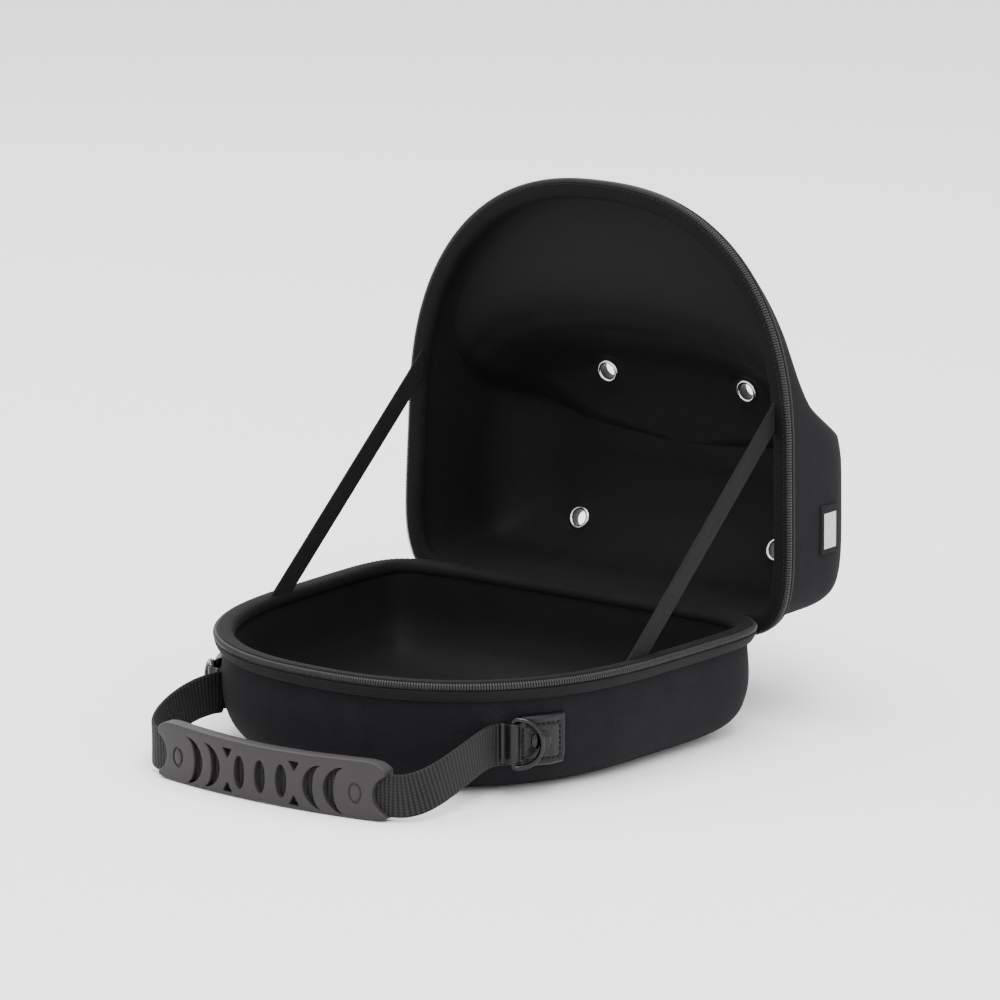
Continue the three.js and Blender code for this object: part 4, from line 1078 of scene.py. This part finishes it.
def box_stitches():
    rear_at, front_at, top_z, low_z = 3.6, 24.6, PATCH_Z + 8.6, PATCH_Z - 9.6
    pitch = 2.9
    line = []
    for a in np.arange(rear_at + 1, front_at, pitch):
        line += [(a, top_z, 1, 0), (a, low_z, 1, 0)]
    for z in np.arange(low_z + 1.2, top_z, pitch):
        line += [(rear_at, z, 0, 1), (front_at, z, 0, 1)]
    line = np.array(line)
    s = PATCH_START + line[:, 0]
    places = wall_place(s, patch_lift(line[:, 0]) + 0.12, line[:, 1])
    out = np.concatenate([outline_at(s)[1], np.zeros((len(line), 1))], 1)
    along = np.stack([-out[:, 1], out[:, 0], out[:, 2]], 1) * line[:, 2:3] + line[:, 3:4] * (0, 0, 1)
    return places, along, out


RIVET_PROFILE = [(0.0, 1.55), (1.4, 1.5), (2.8, 1.32), (4.0, 1.02), (4.8, 0.66), (5.3, 0.28), (5.5, 0.0),
                 (5.3, -0.2), (0.0, -0.2)]
rivet_s = PATCH_START + 15
rivet_out = np.append(outline_at(rivet_s)[1], 0)
for side, sign in (("right", 1), ("left", -1)):
    mirror = np.array((sign, 1, 1))
    places, along, out = (rows * mirror for rows in box_stitches())
    stitches(f"{side}_patch_stitches", places, along, out, 2.2, 0.42, "leather", [f"ring_patch_{side}"])
    bm = spun(RIVET_PROFILE, 36)
    seated(bm, wall_place(rivet_s, FLAT_LIFT + 0.45, PATCH_Z) * mirror, rivet_out * mirror)
    piece_of(f"{side}_rivet_head", bm, [GUNMETAL], [f"patch_rivet_{side}"])

# %% [markdown]
# ## The D-rings
#
# A shoulder strap would hook onto these. Each is bent from one wire: a straight
# bar inside the patch's fold and a round bow that leans on the rivet. They
# are the only hard pieces that move, each on its own body about its bar.

# %% D-rings
RING_HALF, RING_BOW = (27.5 - RING_WIRE) / 2, 17.5 - RING_WIRE
RING_LEAN = 36.18


def bezier(p, count):
    t = np.linspace(0, 1, count, endpoint=False)[:, None]
    p = np.asarray(p, float)
    if len(p) == 3:
        return (1 - t) ** 2 * p[0] + 2 * t * (1 - t) * p[1] + t**2 * p[2]
    return (1 - t) ** 3 * p[0] + 3 * t * (1 - t) ** 2 * p[1] + 3 * t**2 * (1 - t) * p[2] + t**3 * p[3]


def ring_line():
    h, b, c = RING_HALF, RING_BOW, 2.2
    flat = max(b - h, c)
    return np.vstack([
        np.linspace((0, -h + c), (0, h - c), 16, endpoint=False),
        bezier([(0, h - c), (0, h), (flat, h)], 8),
        bezier([(flat, h), (b * 0.62, h), (b, h * 0.6), (b, 0)], 20),
        bezier([(b, 0), (b, -h * 0.6), (b * 0.62, -h), (flat, -h)], 20),
        bezier([(flat, -h), (0, -h), (0, -h + c)], 8),
    ])


wire = ring_line()
wire_out = unit(np.roll(wire, -1, 0) - np.roll(wire, 1, 0))[:, ::-1] * (-1, 1)
turn = np.linspace(0, 2 * np.pi, 15)
radius = RING_WIRE / 2
points = np.stack([
    wire[:, None, 0] + wire_out[:, None, 0] * radius * np.cos(turn),
    np.broadcast_to(radius * np.sin(turn), (len(wire), len(turn))),
    wire[:, None, 1] + wire_out[:, None, 1] * radius * np.cos(turn),
], -1)
points = np.concatenate([points, points[:1]])
for side, sign in (("right", 1), ("left", -1)):
    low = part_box(f"d_ring_{side}")[0]
    bm = bmesh.new()
    skin(bm, points - (0, WIDEST_Y, 0))
    weld(bm)
    lean = math.radians(RING_LEAN if sign > 0 else 180 - RING_LEAN)
    bar = wall_place(PATCH_START + BAR_AT, BAR_LIFT, PATCH_Z) * (sign, 1, 1)
    bar = Matrix.Translation(Vector(bar * MM + (0, WIDEST_Y * MM, 0)))
    bmesh.ops.transform(bm, matrix=bar @ Matrix.Rotation(lean, 4, "Z"), verts=bm.verts)
    face_out(bm)
    ring = piece_of(f"{side}_ring_wire", bm, [GUNMETAL], [f"d_ring_{side}"],
                    body=f"ring_{side}")
    made_low = np.min([v.co[:] for v in ring.data.vertices], 0)
    print("  lowest corner, CAD and made:", np.round(low, 4), np.round(made_low, 4))

# %% [markdown]
# ## The handle
#
# One length of webbing runs from patch to patch and through the grip. It
# leaves the patch along the wall, swings forward and down, and passes through
# the grip, which lies in front of the tray. The webbing is stiff on edge, so
# its width stays upright all the way.

# %% Handle webbing
GRIP_LENGTH, GRIP_HEIGHT, GRIP_THICK = 146.0, 30.0, 8.2
GRIP_AHEAD, GRIP_BOW, GRIP_WEB_Z = 28.5, 8.0, 13.2
LAST_AT = BAR_AT + 6.4
PULL_AT_PATCH, PULL_AT_GRIP = (5, -25, 2.5), (23, 4, -2)


def grip_line(x):
    return -FRONT_REACH - GRIP_AHEAD - GRIP_BOW * (1 - (2 * x / GRIP_LENGTH) ** 2)


def webbing_path():
    lift = WEB_SEAT + WEB_THICK / 2
    ats = np.array([6, 15, 24, 31, LAST_AT])
    on_wall = wall_place(PATCH_START + ats, lift + 0 * ats, PATCH_Z - 1 + 0 * ats)
    leave = wall_place(PATCH_START + LAST_AT + 3, lift + 0.6, PATCH_Z - 1.1)
    grip_end = np.array([GRIP_LENGTH / 2, grip_line(GRIP_LENGTH / 2), GRIP_WEB_Z])
    free = bezier([leave, leave + PULL_AT_PATCH, grip_end + PULL_AT_GRIP, grip_end], 34)
    xs = np.linspace(GRIP_LENGTH / 2, 0, 25)
    inside = np.stack([xs, grip_line(xs), np.full(25, GRIP_WEB_Z)], 1)
    half = np.vstack([fair(on_wall[:, None], 3)[:, 0], free, inside])
    return np.vstack([half, half[:-1][::-1] * (-1, 1, 1)])


web_path = webbing_path()
points, cloth = ribbon(web_path, (0, 0, 1), WEB_WIDTH, WEB_THICK, flats=13)
sheet("webbing_handle", points, cloth, [WEBBING], "strap", ["handle_webbing"])
print("webbing:", round(float(way_round(web_path)[-1])), "mm long")

# %% [markdown]
# The grip is a rubber plate moulded round the webbing and pierced to bend:
# three ovals in the middle, a pair of small triangles and two crescents on
# either side, and a round notch at each end. It is built flat. Loops for the
# outside and the openings get rounded walls, the faces between the loops are
# filled, and the plate is cut into narrow strips and bowed.

# %% Flat plates with openings
def loop_offset(loop, distance):
    """A counterclockwise loop moved outwards."""
    before, after = loop - np.roll(loop, 1, 0), np.roll(loop, -1, 0) - loop
    sides = [unit(np.stack([d[:, 1], -d[:, 0]], 1)) for d in (before, after)]
    corner = sides[0] + sides[1]
    return loop + corner * distance / np.maximum((corner**2).sum(1, keepdims=True) / 2, 0.5)


def wall_rows(loop, sign, half, soft, steps=4):
    """Loops down a rounded edge, the straight wall and the other rounded edge."""
    bend = np.linspace(0, np.pi / 2, steps + 1)
    rows = [(sign * soft * (1 - math.sin(b)), -half + soft * (1 - math.cos(b))) for b in bend]
    rows += [(shift, -deep) for shift, deep in rows[::-1]]
    return [(loop_offset(loop, shift), deep) for shift, deep in rows]


def stacked(rows):
    """Rows of (loop, depth) as rows of points: the loops lie in XZ and the depth is Y."""
    return np.array([[(x, deep, z) for x, z in np.vstack([loop, loop[:1]])] for loop, deep in rows])


def plate(bm, outer, holes, half, soft, hole_soft, dimples=()):
    for loop, sign, edge in [(outer, -1, soft)] + [(hole, 1, hole_soft) for hole in holes]:
        skin(bm, stacked(wall_rows(loop, sign, half, edge)) - (0, WIDEST_Y, 0))
    for rows in dimples:
        skin(bm, stacked(rows) - (0, WIDEST_Y, 0))
    weld(bm)
    rim_edges = [e for e in bm.edges if e.is_boundary]
    for level in (-half, half):
        edges = [e for e in rim_edges if all(abs(v.co.y - level * MM) < 1e-5 for v in e.verts)]
        bmesh.ops.triangle_fill(bm, edges=edges, use_beauty=True)
    face_out(bm)


def ellipse(x, z, wide, high, count=28):
    turn = np.linspace(0, 2 * np.pi, count, endpoint=False)
    return np.stack([x + wide / 2 * np.cos(turn), z + high / 2 * np.sin(turn)], 1)


def even(loop, count):
    """A closed loop with its points spread evenly."""
    line = np.vstack([loop, loop[:1]])
    reach = way_round(line)
    at = np.linspace(0, reach[-1], count, endpoint=False)
    return np.stack([np.interp(at, reach, line[:, k]) for k in (0, 1)], 1)


print("plate tools ready")

# %% The grip's outline and openings
def grip_edges(x):
    share = np.interp(np.abs(x) * 2 / GRIP_LENGTH, (0, 0.2, 0.4, 0.6, 0.86, 0.94, 1),
                      (0.94, 0.95, 0.96, 0.98, 1, 0.965, 0.84))
    drop = (1 - share) * GRIP_HEIGHT / 4
    high = share * GRIP_HEIGHT / 2
    return GRIP_HEIGHT / 2 - drop - high, GRIP_HEIGHT / 2 - drop + high


def grip_outline():
    xs = np.linspace(-GRIP_LENGTH / 2, GRIP_LENGTH / 2, 60)
    low, high = grip_edges(xs)
    notch, beyond = 10.2, 3.3
    centre = GRIP_LENGTH / 2 + beyond
    reach = math.acos(beyond / notch)
    turn = np.linspace(-reach, reach, 24)
    arc = np.stack([centre - notch * np.cos(turn), GRIP_WEB_Z + notch * np.sin(turn)], 1)
    loop = np.vstack([np.stack([xs, low], 1), arc, np.stack([xs, high], 1)[::-1], arc[::-1] * (-1, 1)])
    return even(rounded(even(loop, 300), 2), 260)


def crescent(side, tip, belly, hollow, half):
    turn = np.linspace(np.pi / 2, -np.pi / 2, 22)
    outer = np.stack([tip - belly * np.cos(turn), half * np.sin(turn)], 1)
    inner = np.stack([tip - hollow * np.cos(turn[::-1]), half * np.sin(turn[::-1])], 1)
    loop = np.vstack([outer[:-1], inner[:-1]])
    loop = loop * (side, 1) + (0, GRIP_WEB_Z)
    loop = loop if side > 0 else loop[::-1]
    return even(rounded(loop, 1), 56)


def triangle(x, up):
    loop = np.array([(x - 3.2, up * 11.2), (x, up * 6.0), (x + 3.2, up * 11.2)]) + (0, GRIP_WEB_Z)
    loop = loop if up > 0 else loop[::-1]
    return even(rounded(even(loop, 24), 1), 27)


OVAL_AT, TRIANGLE_AT, BUTTON_AT = 13.4, 21.4, 57.0
CRESCENTS = (
    # tips, belly, hollow, half height
    (37.6, 11.0, 5.2, 11.2),
    (50.8, 12.0, 6.2, 11.9),
)
openings = [ellipse(x, GRIP_WEB_Z, 6.8, 17) for x in (-OVAL_AT, 0, OVAL_AT)]
openings += [triangle(side * TRIANGLE_AT, up) for side in (-1, 1) for up in (-1, 1)]
openings += [crescent(side, *row) for side in (-1, 1) for row in CRESCENTS]
print("openings:", len(openings), "outline points:", len(grip_outline()))

# %% [markdown]
# Between the outer crescent and each notch the rubber carries a small oval
# button in a sunk ring. It is pressed into the front only. The loops of its
# groove and its low dome end in a pole.

# %% The grip
def button(x, half):
    ring = lambda wide, high: ellipse(x, GRIP_WEB_Z, wide, high)
    return [(ring(7.9, 10.9), -half), (ring(7.5, 10.5), -half + 0.25), (ring(7.2, 10.2), -half + 0.8),
            (ring(5.6, 8.4), -half + 0.8), (ring(5.2, 8.0), -half + 0.2), (ring(4.4, 7.0), -half - 0.05),
            (ring(2.6, 4.4), -half - 0.2), (ring(0.001, 0.001), -half - 0.25)]


bm = bmesh.new()
half_thick = GRIP_THICK / 2
plate(bm, grip_outline(), openings, half_thick, 1.1, 0.55,
      [button(x, half_thick) for x in (-BUTTON_AT, BUTTON_AT)])
for x in np.arange(-70, 71, 3.5):
    bmesh.ops.bisect_plane(bm, geom=bm.verts[:] + bm.edges[:] + bm.faces[:], dist=1e-7,
                           plane_co=(x * MM, 0, 0), plane_no=(1, 0, 0))
for v in bm.verts:
    v.co.y += (float(grip_line(v.co.x / MM)) + WIDEST_Y) * MM
face_out(bm)
piece_of("pierced_grip", bm, [RUBBER], ["handle_grip"], sharp=40)

# %% [markdown]
# ## The label
#
# A small woven patch is sewn on the lid's right side. It stays bare: a dark
# ground with a plain pale field, and no mark of any kind. Its grid lies on
# the wall's own curve, a little proud of the knit.

# %% The label
LABEL_W, LABEL_H, LABEL_DEPTH, LABEL_Y = 17.0, 26.0, 46.0, REAR_REACH - 56.0
side_station = int(np.argmin(np.abs(ROUND[:, 1] - LABEL_Y) + 1000 * (ROUND[:, 0] < 0)))
side_wall = lid_rows[: len(lid_rows) // 2, side_station]


def side_skin(y, depth):
    """How far out the lid's right wall lies, at a place along it and a depth."""
    inset = half_width_at(ROUND[side_station, 1]) - np.interp(depth, side_wall[:, 2], side_wall[:, 0])
    return half_width_at(y) - inset


def spread(size, soft):
    """Places across a sheet, closer together along its two rolled edges."""
    edge, flat = np.linspace(0, soft, 4), np.linspace(soft, size - soft, 22)
    return np.concatenate([[0, 0], edge[1:], flat[1:-1], np.linspace(size - soft, size, 4), [size]])


def padded(width, height, base, proud, soft, hingeward=0.0):
    """A padded sheet on the lid's wall: depth by reach, with rolled edges."""
    a, b = spread(width, soft), spread(height, soft)
    border = np.minimum(np.minimum(a, width - a)[None, :], np.minimum(b, height - b)[:, None])
    lift = base + proud * np.sqrt(np.maximum(1 - (1 - np.clip(border / soft, 0, 1)) ** 2, 0))
    lift[[0, -1], :] = lift[:, [0, -1]] = base - 0.2
    depth = np.broadcast_to(LABEL_DEPTH + a - width / 2, lift.shape)
    y = np.broadcast_to((LABEL_Y + hingeward + b - height / 2)[:, None], lift.shape)
    points = np.stack([side_skin(y, depth) + lift, y, depth], -1)
    return lid_place(points), np.stack([depth, y], -1)


for name, rows, finish_used in (
    ("label_ground", padded(LABEL_W, LABEL_H, 0.35, 0.95, 0.9), LABEL),
    ("label_field", padded(12.0, 19.0, 1.2, 0.28, 0.4, hingeward=0.6), PALE),
):
    sheet(name, *rows, [finish_used], "label", ["label_patch"], ends=False,
          inside=lid_place((0, LABEL_Y, LABEL_DEPTH)), sharp=60)

LABEL_PITCH, LABEL_SEAM = 1.9, 1.2
label_line = []
for a in np.arange(-LABEL_W / 2 + 2, LABEL_W / 2 - 1, LABEL_PITCH):
    label_line += [(a, LABEL_H / 2 - LABEL_SEAM, 1, 0), (a, -LABEL_H / 2 + LABEL_SEAM, 1, 0)]
for b in np.arange(-LABEL_H / 2 + 2, LABEL_H / 2 - 1, LABEL_PITCH):
    label_line += [(LABEL_W / 2 - LABEL_SEAM, b, 0, 1), (-LABEL_W / 2 + LABEL_SEAM, b, 0, 1)]
label_line = np.array(label_line)
spots = np.stack([side_skin(LABEL_Y + label_line[:, 1], LABEL_DEPTH + label_line[:, 0]) + 1.32,
                  LABEL_Y + label_line[:, 1], LABEL_DEPTH + label_line[:, 0]], 1)
ways = np.stack([0 * label_line[:, 2], label_line[:, 3], label_line[:, 2]], 1)
outs = np.broadcast_to((1.0, 0, 0), spots.shape)
stitches("label_stitches", lid_place(spots), lid_turn(ways), lid_turn(outs), 1.35, 0.2, "label",
         ["label_patch"])

# %% [markdown]
# ## The zipper's slider
#
# The slider is parked on the left run of the tray's zipper. It has a rounded
# body that straddles the coil, a small bridge, and a pull tab with a slot to
# hold. They do not move here, because a slider follows the coil.

# %% Slider and pull
def tab_outline(wide, top, bottom, corner):
    half = wide / 2
    loop = [(-half, bottom + corner), (-half + corner, bottom), (half - corner, bottom),
            (half, bottom + corner), (half, top - corner), (half - corner, top),
            (-half + corner, top), (-half, top - corner)]
    return even(rounded(np.array(loop), 2), 64)


SLIDER_Y = 66.0
seat_x = -float(half_width_at(SLIDER_Y)) - 0.3
bm = bmesh.new()
plate(bm, tab_outline(8.4, -1.6, -10.2, 1.8), [], 0.9, 0.5, 0.3)
tab = bmesh.new()
finger_slot = even(tab_outline(2.4, -23.5, -28.2, 1.0), 32)
plate(tab, tab_outline(5.7, -8.6, -30.2, 2.2), [finger_slot], 0.62, 0.4, 0.25)
tab_mesh = bpy.data.meshes.new("tab")
tab.to_mesh(tab_mesh)
tab.free()
bm.from_mesh(tab_mesh)
bpy.data.meshes.remove(tab_mesh)
bridge = bezier([(-0.2, 0, -3.0), (-1.9, 0, -3.6), (-1.9, 0, -10.4), (-0.2, 0, -11.2)], 14)
bridge_points = ribbon(bridge[:, [1, 0, 2]], (1, 0, 0), 2.6, 0.8, 3, 3)[0]
skin(bm, bridge_points - (0, WIDEST_Y, 0))
weld(bm)
close_ends(bm)
face_out(bm)
turn = Matrix(((0, 1, 0, 0), (-1, 0, 0, 0), (0, 0, 1, 0), (0, 0, 0, 1)))
spot = Matrix.Translation(Vector(metres((seat_x - 0.9, SLIDER_Y, TRAY_HEIGHT))))
bmesh.ops.transform(bm, matrix=spot @ turn, verts=bm.verts)
piece_of("slider_and_pull", bm, [GUNMETAL], ["zipper_slider"])

# %% [markdown]
# ## Floor, light and camera
#
# The case stands on a plain pale floor in soft light from all around, with a
# wide light overhead and a broad one from the upper right. The camera stands
# far off with a long lens, to the right of the front and a little above it.

# %% Stage
def floor_piece():
    bm = bmesh.new()
    bmesh.ops.create_grid(bm, x_segments=8, y_segments=8, size=20.0)
    bmesh.ops.translate(bm, vec=(0, 12, -0.0003), verts=bm.verts)
    mesh = bpy.data.meshes.new("floor")
    bm.to_mesh(mesh)
    bm.free()
    piece = bpy.data.objects.new("floor", mesh)
    bpy.context.scene.collection.objects.link(piece)
    paint = bpy.data.materials.new("floor_paint")
    paint.use_nodes = True
    shader = paint.node_tree.nodes["Principled BSDF"]
    shader.inputs["Base Color"].default_value = (0.9, 0.9, 0.9, 1)
    shader.inputs["Roughness"].default_value = 0.8
    shader.inputs["Specular IOR Level"].default_value = 0.1
    mesh.materials.append(paint)


floor_piece()
world = bpy.data.worlds.new("soft_white")
bpy.context.scene.world = world
world.use_nodes = True
world.node_tree.nodes["Background"].inputs["Color"].default_value = (1.0, 1.0, 1.0, 1)
world.node_tree.nodes["Background"].inputs["Strength"].default_value = 1.9


def area_light(name, place, aim, size, power):
    data = bpy.data.lights.new(name, "AREA")
    data.shape = "DISK"
    data.size = size
    data.energy = power
    light = bpy.data.objects.new(name, data)
    bpy.context.scene.collection.objects.link(light)
    light.location = place
    light.rotation_euler = (Vector(aim) - Vector(place)).to_track_quat("-Z", "Y").to_euler()


area_light("overhead", (0.0, -0.2, 2.4), (0, 0, 0.1), 2.4, 60)
area_light("key", (1.3, -1.0, 1.9), (0, 0, 0.1), 1.1, 34)
area_light("rim", (-1.6, 0.6, 1.4), (0, 0, 0.1), 1.0, 12)

AZIMUTH, ELEVATION = math.radians(37.3), math.radians(12.55)
AIM, AWAY, ASIDE, UPWARDS = Vector((0, 0.0135, 0.1279)), 3.26, 0.0166, -0.0035
back = Vector((math.sin(AZIMUTH) * math.cos(ELEVATION), -math.cos(AZIMUTH) * math.cos(ELEVATION),
               math.sin(ELEVATION)))
right_way = Vector((math.cos(AZIMUTH), math.sin(AZIMUTH), 0))
up_way = back.cross(right_way)
eye = AIM + back * AWAY + right_way * ASIDE + up_way * UPWARDS
camera_data = bpy.data.cameras.new("camera")
camera_data.lens = 227.9
camera_data.sensor_width = 36.0
camera_data.clip_end = 60.0
camera = bpy.data.objects.new("camera", camera_data)
bpy.context.scene.collection.objects.link(camera)
camera.matrix_world = Matrix.Translation(eye) @ Matrix((right_way, up_way, back)).transposed().to_4x4()
bpy.context.scene.camera = camera
print("camera at", [round(c, 3) for c in eye])
